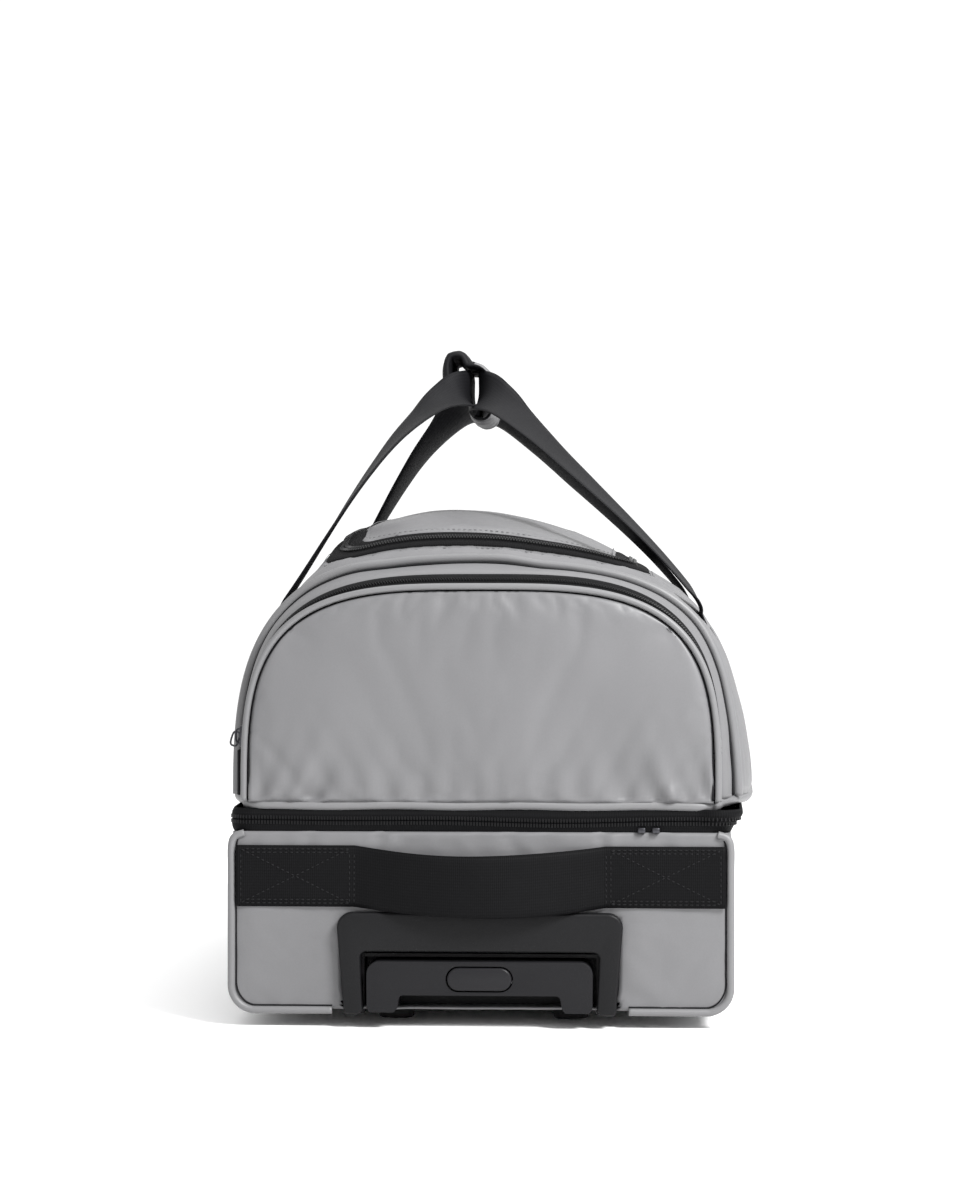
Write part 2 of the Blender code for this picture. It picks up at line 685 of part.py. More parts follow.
# piping ring and divider under the fabric of the upper case
def upper_half(d):
    return station(max(0.0, d))[0]


def rim(inset, d_front, d_rear, corner):
    ds = [d_rear - corner + (d_front + corner - d_rear + corner) * i / 11 for i in range(12)]
    left = [(-(upper_half(d) - inset), Y(d)) for d in ds]
    w = upper_half(ds[-1]) - inset
    for i in range(1, 6):
        a = math.pi / 2 * i / 6
        left.append((-(w - corner) - corner * math.cos(a),
                     Y(d_front + corner) - corner * math.sin(a)))
    left.append((-(w - corner), Y(d_front)))
    w2 = upper_half(ds[0]) - inset
    head = [(-(w2 - corner), Y(d_rear))]
    for i in range(1, 6):
        a = math.pi / 2 * (1 - i / 6)
        head.append((-(w2 - corner) - corner * math.cos(a),
                     Y(d_rear - corner) + corner * math.sin(a)))
    half = head + left
    return half + [(-x, y) for x, y in reversed(half)]


ring = rim(0.0024, 0.0026, LENGTH - 0.0020, 0.012)
sweep("mid_piping", [(x, y, MID_PIPING_Z) for x, y in ring], MID_PIPING_R, 6, PIPE, closed=True)
prism("divider_panel", rim(0.0085, 0.0085, LENGTH - 0.0085, 0.010), 0.1530, 0.1560, LINING)

# ---------------------------------------------------------------- front pocket
def d_panel(name, z0, z1, d0, d1, mat, inset=0.0024):
    """D-shaped panel between heights z0 and z1."""
    pts = []
    steps = 5 if z1 <= POCKET_HINGE_Z else 0
    if steps:
        for i in range(steps):
            z = z0 + (z1 - z0) * i / (steps - 1)
            pts.append((-(half_width(0, z) - inset), z))
        pts += [(-x, z) for x, z in reversed(pts)]
    else:
        pts = arch(0.0, z0, 26, -inset)
    return loft(name, [[(x, Y(d0), z) for x, z in pts], [(x, Y(d1), z) for x, z in pts]], mat)


d_panel("pocket_panel_lower", UPPER_BOTTOM, POCKET_HINGE_Z - GAP, 0.0, CLOTH, FABRIC)
flap = d_panel("pocket_flap_panel", POCKET_HINGE_Z, 1.0, 0.0, CLOTH, FABRIC)
hinge_point(flap, (0, Y(0), POCKET_HINGE_Z))

pipe_off = PIPING_R + 0.0004


def pocket_pipe_point(x, z, nx, nz):
    return (x + nx * (pipe_off - 0.0024), Y(PIPING_R - 0.0006), z + nz * (pipe_off - 0.0024))


arch_pts = arch(0.0, POCKET_HINGE_Z, 34)
path = [pocket_pipe_point(x, z, nx, nz)
        for (x, z), (nx, nz) in zip(arch_pts, normals2(arch_pts))]
flap_pipe = sweep("pocket_flap_piping", path, PIPING_R, 6, PIPE)
hinge_point(flap_pipe, (0, Y(0), POCKET_HINGE_Z))

for side, sx in (("left", -1), ("right", 1)):
    path = []
    for i in range(4):
        z = POCKET_HINGE_Z - 0.0008 - (POCKET_HINGE_Z - 0.0008 - 0.1600) * i / 3
        path.append((sx * (half_width(0, z) + pipe_off - 0.0024), Y(PIPING_R - 0.0006), z))
    sweep("pocket_piping_" + side, path, PIPING_R, 8, PIPE)

front_tape = band("pocket_zip_front_tape", 0.0046, 0.0178, POCKET_HINGE_Z, -0.0030, -0.0008, TAPE)
hinge_point(front_tape, (0, Y(0), POCKET_HINGE_Z))
band("pocket_zip_rear_tape", 0.0184, 0.0318, POCKET_HINGE_Z + 0.0002, -0.0030, -0.0008, TAPE)

# gusset below the zip ends: both sides and the floor of the pocket
gusset_pts = []
for i in range(5):
    z = POCKET_HINGE_Z - 0.0006 - (POCKET_HINGE_Z - 0.0006 - 0.1600) * i / 4
    gusset_pts.append((-(half_width(0.018, z) - 0.0008), z))
gusset_pts.append((-(half_width(0.018, 0.16) - 0.0008), UPPER_BOTTOM))
gusset_pts += [(-x, z) for x, z in reversed(gusset_pts)]
outer, inner = [], []
for d in (0.0046, 0.0320):
    k = (half_width(d, 0.16) - half_width(0.018, 0.16))
    outer.append([(x + math.copysign(k, x), Y(d), z) for x, z in gusset_pts])
    inner.append([(x + math.copysign(k, x) - math.copysign(0.0022, x), Y(d),
                   max(z, UPPER_BOTTOM + 0.0022)) for x, z in gusset_pts])
grid_solid("pocket_gusset", outer, inner, FABRIC)

# fabric gusset that joins the pocket zip to the main body
band("pocket_arch_gusset", GUSSET_D, FRONT_WALL_D - GAP, UPPER_BOTTOM, -0.0032, -0.0008, FABRIC,
     rows=3)

px, pz = -(half_width(0.025, 0.160) - 0.0008) - 0.0008, 0.2015
slider = box("pocket_zip_slider", px - 0.0042, px, 0.0110, 0.0250, 0.1950, 0.2100, SLIDER,
             bevel=0.0015, segments=2)
hinge_point(slider, (px, Y(0.018), pz))
pull = box("pocket_zip_pull", px - 0.0036, px - 0.0006, 0.0125, 0.0235, 0.1610, 0.1931, FABRIC,
           bevel=0.0012, segments=1)
hinge_point(pull, (px - 0.0021, Y(0.018), 0.1931))

# slider parked at the end of the lid zip, with its pull lying on the bag
surface_patch("lid_zip_slider", 0.6100, 0.6250, -0.1175, -0.1065, 0.0004, 0.0052, SLIDER,
              rows=3, cols=3)
pull = surface_patch("lid_zip_pull", 0.6290, 0.6560, -0.1165, -0.1075, 0.0012, 0.0040, FABRIC,
                     rows=5, cols=2)
hinge_point(pull, (-0.1120, Y(0.6290), top_height(0.6290, -0.1120) + 0.0026))

# ================================================================ carry handles
for side, sx in (("left", -1), ("right", 1)):
    for end, dc in (("front", HANDLE_LEG_D), ("rear", 2 * HANDLE_MID_D - HANDLE_LEG_D)):
        surface_patch("handle_anchor_%s_%s" % (side, end), dc - STRAP_W / 2, dc + STRAP_W / 2,
                      0.2350, 0.2770, 0.0006, 0.0031, WEB, rows=5, cols=6, by='z', side=sx)

LEG = (
    (0.1557, 0.1650, 0.2982), (0.1330, 0.1665, 0.3300), (0.1075, 0.1730, 0.3625),
    (0.0800, 0.1860, 0.3950), (0.0530, 0.2060, 0.4250), (0.0285, 0.2330, 0.4485),
    (0.0120, 0.2610, 0.4605), (0.0048, 0.2860, 0.4640), (0.0036, 0.3100, 0.4650),
    (0.0035, 0.3350, 0.4650),
)


HANDLE_LEAN = 0.0200          # the joined handles lean to the left at their top


def lean(x, z):
    """x of a point on the handles once they lean over."""
    k = min(1.0, max(0.0, (z - 0.2982) / (0.4395 - 0.2982)))
    return x - HANDLE_LEAN * k * k * (3 - 2 * k)


def catmull(pts, per):
    out = []
    n = len(pts)
    for i in range(n - 1):
        p0 = pts[max(0, i - 1)]
        p1, p2 = pts[i], pts[i + 1]
        p3 = pts[min(n - 1, i + 2)]
        for k in range(per):
            t = k / per
            out.append(0.5 * ((2 * p1) + (p2 - p0) * t + (2 * p0 - 5 * p1 + 4 * p2 - p3) * t * t
                              + (3 * p1 - p0 - 3 * p2 + p3) * t ** 3))
    out.append(pts[-1].copy())
    return out


def strap(name, sx, mat):
    """Flat webbing loop: rear-facing edge at the feet, on edge at the top."""
    half = catmull([Vector((x, d, z)) for x, d, z in LEG], 3)
    n = len(half)
    frames = []
    for i, p in enumerate(half):
        t = (half[min(n - 1, i + 1)] - half[max(0, i - 1)]).normalized()
        if i == n - 1:
            t = Vector((0, 1, 0))
        k = i / (n - 1)
        k = max(0.0, min(1.0, (k - 0.12) / 0.74))
        k = k * k * (3 - 2 * k)
        w0 = Vector((0, 1, 0)) - t * t.y
        w1 = Vector((0, 0, 1)) - t * t.z
        w = (w0 * (1 - k) + w1 * k) if w0.length > 1e-6 else w1
        w = w.normalized()
        frames.append((p, w, t.cross(w).normalized()))
    rings = []
    for p, w, q in frames:
        rings.append([p + w * a * STRAP_W / 2 + q * b * STRAP_T / 2
                      for a, b in ((-1, -1), (1, -1), (1, 1), (-1, 1))])
    # The rear leg mirrors the front one about mid-length, so the two meet.
    for i in range(n - 2, -1, -1):
        ring = []
        for q in rings[i]:
            ring.append(Vector((q.x, 2 * HANDLE_MID_D - q.y, q.z)))
        rings.append(ring)
    rings = [[(lean(sx * q.x, q.z), Y(q.y), q.z) for q in ring] for ring in rings]
    ob = loft(name, rings, mat, 30)
    hinge_point(ob, (sx * HANDLE_PIVOT_X, Y(HANDLE_MID_D), HANDLE_PIVOT_Z))
    return ob


strap("handle_strap_left", -1, WEB)
strap("handle_strap_right", 1, WEB)

# padded wrap, open on its left side, lying round both straps
sect = [Vector(p) for p in ((-0.0045, 0.4420), (0.0030, 0.4402), (0.0100, 0.4430),
                            (0.0128, 0.4520), (0.0132, 0.4650), (0.0120, 0.4780),
                            (0.0060, 0.4876), (-0.0040, 0.4900), (-0.0160, 0.4895),
                            (-0.0240, 0.4850))]
line = [(p.x, p.y) for p in sect]
nn = normals2(line)
line = [(p[0] - HANDLE_LEAN, p[1]) for p in line]
outer = [[(p[0] - q[0] * 0.0018, Y(d), p[1] - q[1] * 0.0018) for p, q in zip(line, nn)]
         for d in (0.2850, 0.3850)]
inner = [[(p[0] + q[0] * 0.0018, Y(d), p[1] + q[1] * 0.0018) for p, q in zip(line, nn)]
         for d in (0.2850, 0.3850)]
wrap = grid_solid("handle_wrap", outer, inner, FABRIC)
hinge_point(wrap, (HANDLE_PIVOT_X, Y(HANDLE_MID_D), HANDLE_PIVOT_Z))
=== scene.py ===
import json
import math

import bmesh
import bpy
import numpy as np
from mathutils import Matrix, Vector, noise


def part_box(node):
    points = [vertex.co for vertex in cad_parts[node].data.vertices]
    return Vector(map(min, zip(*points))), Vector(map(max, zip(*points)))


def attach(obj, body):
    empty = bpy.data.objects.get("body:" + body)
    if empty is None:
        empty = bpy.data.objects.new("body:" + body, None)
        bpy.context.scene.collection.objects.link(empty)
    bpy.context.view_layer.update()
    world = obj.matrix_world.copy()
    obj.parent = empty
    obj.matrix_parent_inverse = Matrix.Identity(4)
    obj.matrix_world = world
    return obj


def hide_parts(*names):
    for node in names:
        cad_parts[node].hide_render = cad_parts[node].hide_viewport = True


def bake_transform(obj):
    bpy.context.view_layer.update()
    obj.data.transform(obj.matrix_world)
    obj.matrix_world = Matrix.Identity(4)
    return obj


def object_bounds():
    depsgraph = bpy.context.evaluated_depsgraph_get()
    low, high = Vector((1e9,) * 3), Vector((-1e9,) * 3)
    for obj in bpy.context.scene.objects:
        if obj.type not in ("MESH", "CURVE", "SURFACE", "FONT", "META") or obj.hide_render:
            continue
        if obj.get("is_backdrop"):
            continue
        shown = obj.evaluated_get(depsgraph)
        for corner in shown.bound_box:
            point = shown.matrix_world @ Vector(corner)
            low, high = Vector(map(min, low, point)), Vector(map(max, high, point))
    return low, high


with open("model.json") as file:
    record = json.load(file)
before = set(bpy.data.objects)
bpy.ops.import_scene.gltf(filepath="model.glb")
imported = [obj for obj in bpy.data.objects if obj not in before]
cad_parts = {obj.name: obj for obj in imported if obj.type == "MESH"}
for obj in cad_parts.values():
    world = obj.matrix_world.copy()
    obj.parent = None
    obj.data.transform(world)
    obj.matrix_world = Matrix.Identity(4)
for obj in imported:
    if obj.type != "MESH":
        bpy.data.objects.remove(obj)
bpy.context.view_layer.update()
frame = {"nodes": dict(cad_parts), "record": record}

NODES = frame["nodes"]
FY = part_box("pocket_flap_panel")[0].y
LENGTH = 0.6645
ARCH_BASE = 0.160
UPPER_BOTTOM = 0.1573


def Y(d):
    return FY + d


# ------------------------------------------------------------ shape of the upper case
STATIONS = np.array((
    (0.0000, 0.1660, 0.3080, 3.4), (0.0360, 0.1705, 0.3190, 3.3), (0.0600, 0.1770, 0.3310, 3.0),
    (0.0850, 0.1820, 0.3400, 2.75), (0.1100, 0.1860, 0.3500, 2.55), (0.1500, 0.1895, 0.3560, 2.4),
    (0.2200, 0.1920, 0.3630, 2.3), (0.3500, 0.1930, 0.3690, 2.3), (0.4800, 0.1920, 0.3660, 2.3),
    (0.5500, 0.1895, 0.3610, 2.4), (0.6000, 0.1850, 0.3520, 2.55), (0.6300, 0.1810, 0.3420, 2.75),
    (0.6500, 0.1770, 0.3310, 3.0), (0.6645, 0.1720, 0.3190, 3.3)))
GRID_D = np.linspace(0.0, LENGTH, 1330)


def smoothed(col):
    v = np.interp(GRID_D, STATIONS[:, 0], STATIONS[:, col])
    for _ in range(3):
        p = np.concatenate((2 * v[0] - v[10:0:-1], v, 2 * v[-1] - v[-2:-12:-1]))
        v = np.convolve(p, np.ones(21) / 21, mode="valid")
    return v


TAB_W, TAB_T, TAB_N = smoothed(1), smoothed(2), smoothed(3)


def wtn(d):
    return (np.interp(d, GRID_D, TAB_W), np.interp(d, GRID_D, TAB_T), np.interp(d, GRID_D, TAB_N))


def half_width(d, z, grow=0.0):
    w, top, n = wtn(d)
    t = np.clip((z - ARCH_BASE) / (top + grow - ARCH_BASE), 0, 1)
    return (w + grow) * (1.0 - t ** n) ** (1.0 / n)


def top_height(d, x, grow=0.0):
    w, top, n = wtn(d)
    t = np.clip(np.abs(x) / (w + grow), 0, 1)
    return ARCH_BASE + (top + grow - ARCH_BASE) * (1.0 - t ** n) ** (1.0 / n)


def smoothstep(a, b, v):
    k = np.clip((np.asarray(v, float) - a) / (b - a), 0, 1)
    return k * k * (3 - 2 * k)


def profile(d, grow=0.0, low=UPPER_BOTTOM):
    """Dense outline of the section at d: x, z and length run from lower left to lower right."""
    w, top, n = (float(v) for v in wtn(d))
    w, top = w + grow, top + grow
    a = np.linspace(0, math.pi, 721)
    c, s = np.cos(a), np.maximum(np.sin(a), 0)
    x = -np.sign(c) * np.abs(c) ** (2 / n) * w
    z = ARCH_BASE + s ** (2 / n) * (top - ARCH_BASE)
    if low < ARCH_BASE:
        x = np.concatenate(([-w], x, [w]))
        z = np.concatenate(([low], z, [low]))
    else:
        keep = z >= low
        x, z = x[keep], z[keep]
        x = np.concatenate(([-float(half_width(d, low, grow))], x, [float(half_width(d, low, grow))]))
        z = np.concatenate(([low], z, [low]))
    run = np.concatenate(([0], np.cumsum(np.hypot(np.diff(x), np.diff(z)))))
    return x, z, run


def on_profile(p, run):
    return np.interp(run, p[2], p[0]), np.interp(run, p[2], p[1])


# The soft top sags to the right: how much it rises or drops, by x, at four places along it.
SAG_X = np.array((-0.150, -0.140, -0.128, -0.111, -0.095, -0.072, -0.041, 0.0, 0.015, 0.042, 0.072, 0.092, 0.117, 0.140, 0.160))
SAG = np.array((
    (0.0, 0.0, 0.0, -0.001, -0.002, -0.005, -0.005, -0.0045, -0.005, -0.009, -0.009, -0.008, -0.006, -0.003, 0.0),
    (0.0, 0.001, 0.002, 0.004, 0.002, 0.001, 0.0, -0.001, -0.002, -0.0045, -0.005, -0.004, -0.003, -0.002, 0.0),
    (0.0, 0.003, 0.0075, 0.013, 0.012, 0.0082, 0.0036, -0.003, -0.0058, -0.0095, -0.0116, -0.0125, -0.012, -0.006, 0.0),
    (0.0, 0.001, 0.002, 0.004, 0.003, 0.002, 0.001, -0.001, -0.002, -0.003, -0.004, -0.004, -0.003, -0.002, 0.0)))
SAG_D = np.array((0.0360, 0.0635, 0.0850, 0.1700, 0.4700, 0.6000))


def sag_at(x, d):
    rows = [np.interp(x, SAG_X, r) for r in SAG]
    rows = [0 * rows[0], rows[0], rows[1], rows[2], rows[2], 0 * rows[3]]
    d = np.clip(d, SAG_D[0], SAG_D[-1])
    out = np.zeros_like(np.asarray(x, float))
    for i in range(5):
        k = (d - SAG_D[i]) / (SAG_D[i + 1] - SAG_D[i])
        k = k if i != 2 else k * k * (3 - 2 * k)
        out = np.where((d >= SAG_D[i]) & (d <= SAG_D[i + 1]), rows[i] * (1 - k) + rows[i + 1] * k, out)
    return out


def lean(v):
    v = np.array(v, float)
    d = v[:, 1] - FY
    x = v[:, 0]
    soft = (sag_at(x - 0.006, d) + 2 * sag_at(x, d) + sag_at(x + 0.006, d)) / 4
    v[:, 2] += soft * smoothstep(0.255, 0.300, v[:, 2])
    # fabric swells a little over the side of the lower case, more on the right
    s = smoothstep(0.02, 0.10, d) * (1 - smoothstep(0.56, 0.66, d)) * (1 - smoothstep(0.155, 0.235, v[:, 2]))
    v[:, 0] += np.where(x > 0, 0.0060, -0.0008) * s * smoothstep(0.10, 0.16, np.abs(x))
    return v


def ripple(v, size, seed):
    """Smooth random field sampled at points v, about -1 to 1."""
    off = Vector((seed * 3.17, seed * 1.31, seed * 7.7))
    return np.array([noise.noise(Vector(p) / size + off) for p in v])


# ------------------------------------------------------------ mesh helpers
def make(name, v, f, uv=None, mats=(), smooth=True, mat_index=None):
    me = bpy.data.meshes.new(name)
    v = np.asarray(v, float)
    me.from_pydata(v.tolist(), [], [tuple(int(i) for i in q) for q in f])
    if uv is not None:
        layer = me.uv_layers.new(name="UVMap")
        loop_v = np.empty(len(me.loops), np.int32)
        me.loops.foreach_get("vertex_index", loop_v)
        layer.data.foreach_set("uv", np.asarray(uv, float)[loop_v].ravel())
    for m in (mats if isinstance(mats, (list, tuple)) else (mats,)):
        me.materials.append(m)
    if mat_index is not None:
        me.polygons.foreach_set("material_index", np.asarray(mat_index, np.int32))
    me.polygons.foreach_set("use_smooth", [smooth] * len(me.polygons))
    ob = bpy.data.objects.new(name, me)
    bpy.context.scene.collection.objects.link(ob)
    return ob


def quads(rows, cols, closed=False, base=0):
    f = []
    for r in range(rows - 1):
        for c in range(cols if closed else cols - 1):
            a, b = r * cols + c, r * cols + (c + 1) % cols
            f.append((base + a, base + b, base + b + cols, base + a + cols))
    return f


def outward(ob):
    bm = bmesh.new()
    bm.from_mesh(ob.data)
    bmesh.ops.recalc_face_normals(bm, faces=bm.faces[:])
    bm.to_mesh(ob.data)
    bm.free()
    return ob


def bake(ob):
    bpy.context.view_layer.update()
    dg = bpy.context.evaluated_depsgraph_get()
    me = bpy.data.meshes.new_from_object(ob.evaluated_get(dg), preserve_all_data_layers=True, depsgraph=dg)
    old = ob.data
    ob.modifiers.clear()
    ob.data = me
    me.name = ob.name
    bpy.data.meshes.remove(old)
    return ob


def sharp(ob, angle=35):
    ob.data.set_sharp_from_angle(angle=math.radians(angle))
    return ob


def thicken(ob, t, side=-1.0):
    m = ob.modifiers.new("t", "SOLIDIFY")
    m.thickness = t
    m.offset = side
    m.use_even_offset = False
    bake(ob)
    return outward(ob)


def bevelled(ob, width, segments=3, angle=30):
    m = ob.modifiers.new("b", "BEVEL")
    m.width = width
    m.segments = segments
    m.limit_method = "ANGLE"
    m.angle_limit = math.radians(angle)
    m.harden_normals = False
    bake(ob)
    return sharp(ob, 40)


def boolean(ob, cutter, op="DIFFERENCE"):
    m = ob.modifiers.new("c", "BOOLEAN")
    m.object = cutter
    m.operation = op
    m.solver = "EXACT"
    bake(ob)
    bpy.data.objects.remove(cutter, do_unlink=True)
    return ob


def weld(v, f, uv):
    key = np.round(np.asarray(v) * 1e6).astype(np.int64)
    _, first, inv = np.unique(key, axis=0, return_index=True, return_inverse=True)
    inv = inv.ravel()
    out = []
    for q in f:
        t = [inv[i] for i in q]
        t = [a for i, a in enumerate(t) if a != t[i - 1]]
        if len(t) > 2:
            out.append(t)
    return np.asarray(v)[first], out, np.asarray(uv)[first]


def resample(p, step=None, count=None, closed=False):
    p = np.asarray(p, float)
    if closed:
        p = np.vstack((p, p[:1]))
    run = np.concatenate(([0], np.cumsum(np.linalg.norm(np.diff(p, axis=0), axis=1))))
    m = count or max(2, int(round(run[-1] / step)) + 1)
    s = np.linspace(0, run[-1], m)
    q = np.stack([np.interp(s, run, p[:, k]) for k in range(3)], 1)
    return (q[:-1], s[:-1]) if closed else (q, s)


def unit(v):
    v = np.asarray(v, float)
    return v / np.maximum(np.linalg.norm(v, axis=-1, keepdims=True), 1e-12)


def spline(p, per, closed=False):
    """Smooth curve through the points."""
    p = [np.asarray(q, float) for q in p]
    n = len(p)
    out = []
    for i in range(n if closed else n - 1):
        if closed:
            a, b, c, e = p[(i - 1) % n], p[i], p[(i + 1) % n], p[(i + 2) % n]
        else:
            a, b, c, e = p[max(0, i - 1)], p[i], p[i + 1], p[min(n - 1, i + 2)]
        for k in range(per):
            t = k / per
            out.append(0.5 * (2 * b + (c - a) * t + (2 * a - 5 * b + 4 * c - e) * t * t
                              + (3 * b - a - 3 * c + e) * t ** 3))
    if not closed:
        out.append(p[-1])
    return np.array(out)


def tangents(p, closed=False):
    if closed:
        return unit(np.roll(p, -1, 0) - np.roll(p, 1, 0))
    t = np.gradient(p, axis=0)
    return unit(t)


def cord(name, p, r, mats, sides=10, closed=False, flat=1.0):
    """Round cord along the points, with closed ends."""
    p = np.asarray(p, float)
    t = tangents(p, closed)
    u = np.cross(t[0], (0.0, 0.0, 1.0))
    if np.linalg.norm(u) < 0.1:
        u = np.cross(t[0], (1.0, 0.0, 0.0))
    u = unit(u)
    frames = []
    for i in range(len(p)):
        u = unit(u - t[i] * np.dot(u, t[i]))
        frames.append((u, np.cross(t[i], u)))
    run = np.concatenate(([0], np.cumsum(np.linalg.norm(np.diff(p, axis=0), axis=1))))
    rr = np.full(len(p), r) if np.isscalar(r) else np.asarray(r)
    v, uv = [], []
    for i, (a, b) in enumerate(frames):
        for k in range(sides):
            g = 2 * math.pi * k / sides
            v.append(p[i] + (a * math.cos(g) + b * math.sin(g) * flat) * rr[i])
            uv.append((run[i], rr[i] * g))
    f = quads(len(p), sides, True)
    if closed:
        base = (len(p) - 1) * sides
        # match the last ring to the first by the smallest twist
        first = np.array(v[:sides])
        last = np.array(v[base:base + sides])
        best = min(range(sides), key=lambda q: np.linalg.norm(np.roll(first, -q, 0) - last))
        for k in range(sides):
            a, b = base + k, base + (k + 1) % sides
            f.append((a, b, (k + 1 + best) % sides, (k + best) % sides))
    else:
        f.append(tuple(range(sides))[::-1])
        f.append(tuple(range((len(p) - 1) * sides, len(p) * sides)))
    return outward(make(name, v, f, uv, mats))


def ribbon(name, p, wd, nd, width, t, mats, cols=9, curl=0.0, uv_scale=1.0):
    """Flat woven strip: p centre points, wd unit width direction, nd unit normal."""
    p, wd, nd = np.asarray(p, float), unit(wd), unit(nd)
    m = len(p)
    run = np.concatenate(([0], np.cumsum(np.linalg.norm(np.diff(p, axis=0), axis=1))))
    wide = np.full(m, width) if np.isscalar(width) else np.asarray(width)
    a = np.linspace(-0.5, 0.5, cols)
    thick = 0.5 * t * (1 - 0.75 * np.abs(2 * a) ** 10)
    v, uv = [], []
    for i in range(m):
        for j in range(cols):
            v.append(p[i] + wd[i] * a[j] * wide[i] + nd[i] * (thick[j] - curl * (2 * a[j]) ** 2))
            uv.append((run[i], a[j] * wide[i]))
        for j in range(cols - 1, -1, -1):
            v.append(p[i] + wd[i] * a[j] * wide[i] - nd[i] * (thick[j] + curl * (2 * a[j]) ** 2))
            uv.append((run[i], a[j] * wide[i]))
    ring = 2 * cols
    f = quads(m, ring, True)
    for base in (0, (m - 1) * ring):
        for j in range(cols - 1):
            f.append((base + j, base + j + 1, base + ring - 2 - j, base + ring - 1 - j))
    return outward(make(name, v, f, uv, mats))


def coons(bottom, top, left, right):
    """Grid of points between four edges; bottom and top run the same way, so do left and right."""
    c, r = len(bottom), len(left)
    u = np.linspace(0, 1, c)[None, :, None]
    w = np.linspace(0, 1, r)[:, None, None]
    b, t, l, g = (np.asarray(q, float) for q in (bottom, top, left, right))
    s = ((1 - w) * b[None] + w * t[None] + (1 - u) * l[:, None] + u * g[:, None]
         - (1 - u) * (1 - w) * b[0] - u * (1 - w) * b[-1] - (1 - u) * w * t[0] - u * w * t[-1])
    return s


def boxes(name, c, t, s, n, length, pitch, height, mats, top=0.72):
    """Row of small bevelled blocks at points c: t along the row, s across it, n out of the surface."""
    v, f = [], []
    lo = np.array([(-1, -1), (1, -1), (1, 1), (-1, 1)], float)
    for i in range(len(c)):
        b = len(v)
        for h, k in ((-0.5, 1.0), (0.18, 1.0), (0.5, top)):
            for x, y in lo:
                v.append(c[i] + t[i] * x * pitch * 0.5 * k + s[i] * y * length * 0.5 * (0.5 + 0.5 * k)
                         + n[i] * h * height)
        f += quads(3, 4, True, b)
        f += [(b + 3, b + 2, b + 1, b), (b + 8, b + 9, b + 10, b + 11)]
    return outward(make(name, v, f, None, mats, smooth=False))


def stitches(name, lines, mats, length=0.0030, gap=0.0014, r=0.00034, lift=0.0001):
    """Sewn thread: lines is a list of (points, normals); each stitch is a short plump thread."""
    v, f = [], []
    for p, nn in lines:
        p, nn = np.asarray(p, float), np.asarray(nn, float)
        run = np.concatenate(([0], np.cumsum(np.linalg.norm(np.diff(p, axis=0), axis=1))))
        at = np.arange(0.3 * gap, run[-1] - length, length + gap)
        for s in at:
            q = [np.array([np.interp(s + k * length, run, p[:, a]) for a in range(3)]) for k in (0, 0.25, 0.75, 1)]
            n0 = unit(np.array([np.interp(s + length / 2, run, nn[:, a]) for a in range(3)]))
            t0 = unit(q[3] - q[0])
            w0 = np.cross(t0, n0)
            b = len(v)
            v.append(q[0] - n0 * r * 0.8)
            for m in (1, 2):
                for g in range(5):
                    an = 2 * math.pi * g / 5
                    v.append(q[m] + n0 * (r * math.sin(an) + lift) + w0 * r * 1.15 * math.cos(an))
            v.append(q[3] - n0 * r * 0.8)
            for g in range(5):
                h = (g + 1) % 5
                f += [(b, b + 1 + h, b + 1 + g), (b + 1 + g, b + 1 + h, b + 6 + h, b + 6 + g),
                      (b + 11, b + 6 + g, b + 6 + h)]
    return outward(make(name, v, f, None, mats))


def relax(ob, pinned, frames=16, pressure=1.0, shrink=-0.006, cap=0.006, stiff=12.0, bend=0.6):
    """Lets a panel of fabric settle with its seams held; it moves at most cap."""
    rest = np.empty(len(ob.data.vertices) * 3)
    ob.data.vertices.foreach_get("co", rest)
    rest = rest.reshape(-1, 3)
    g = ob.vertex_groups.new(name="pin")
    for w in sorted(set(np.round(pinned, 2))):
        ids = np.where(np.round(pinned, 2) == w)[0].tolist()
        if w > 0:
            g.add(ids, float(w), "REPLACE")
    m = ob.modifiers.new("cloth", "CLOTH")
    c = m.settings
    c.quality = 5
    c.mass = 0.25
    c.tension_stiffness = c.compression_stiffness = stiff
    c.shear_stiffness = stiff * 0.5
    c.bending_stiffness = bend
    c.tension_damping = c.compression_damping = c.shear_damping = 12
    c.air_damping = 4
    c.vertex_group_mass = "pin"
    c.use_pressure = True
    c.uniform_pressure_force = pressure
    c.shrink_min = shrink
    c.effector_weights.gravity = 0.0
    m.collision_settings.use_collision = False
    m.point_cache.frame_start, m.point_cache.frame_end = 1, frames
    scene = bpy.context.scene
    for fr in range(1, frames + 1):
        scene.frame_set(fr)
    dg = bpy.context.evaluated_depsgraph_get()
    ev = ob.evaluated_get(dg).to_mesh()
    out = np.empty(len(ev.vertices) * 3)
    ev.vertices.foreach_get("co", out)
    ob.evaluated_get(dg).to_mesh_clear()
    ob.modifiers.clear()
    scene.frame_set(1)
    move = out.reshape(-1, 3) - rest
    size = np.linalg.norm(move, axis=1, keepdims=True)
    size = np.where(np.isfinite(size), size, 0)
    move = np.nan_to_num(move)
    move *= cap * np.tanh(size / cap) / np.maximum(size, 1e-9)
    ob.data.vertices.foreach_set("co", (rest + move).ravel())
    ob.vertex_groups.clear()
    ob.data.update()
    return ob


def coords(ob):
    co = np.empty(len(ob.data.vertices) * 3)
    ob.data.vertices.foreach_get("co", co)
    return co.reshape(-1, 3)


def set_coords(ob, co):
    ob.data.vertices.foreach_set("co", np.asarray(co).ravel())
    ob.data.update()
    return ob


def leaned(ob):
    return set_coords(ob, lean(coords(ob)))


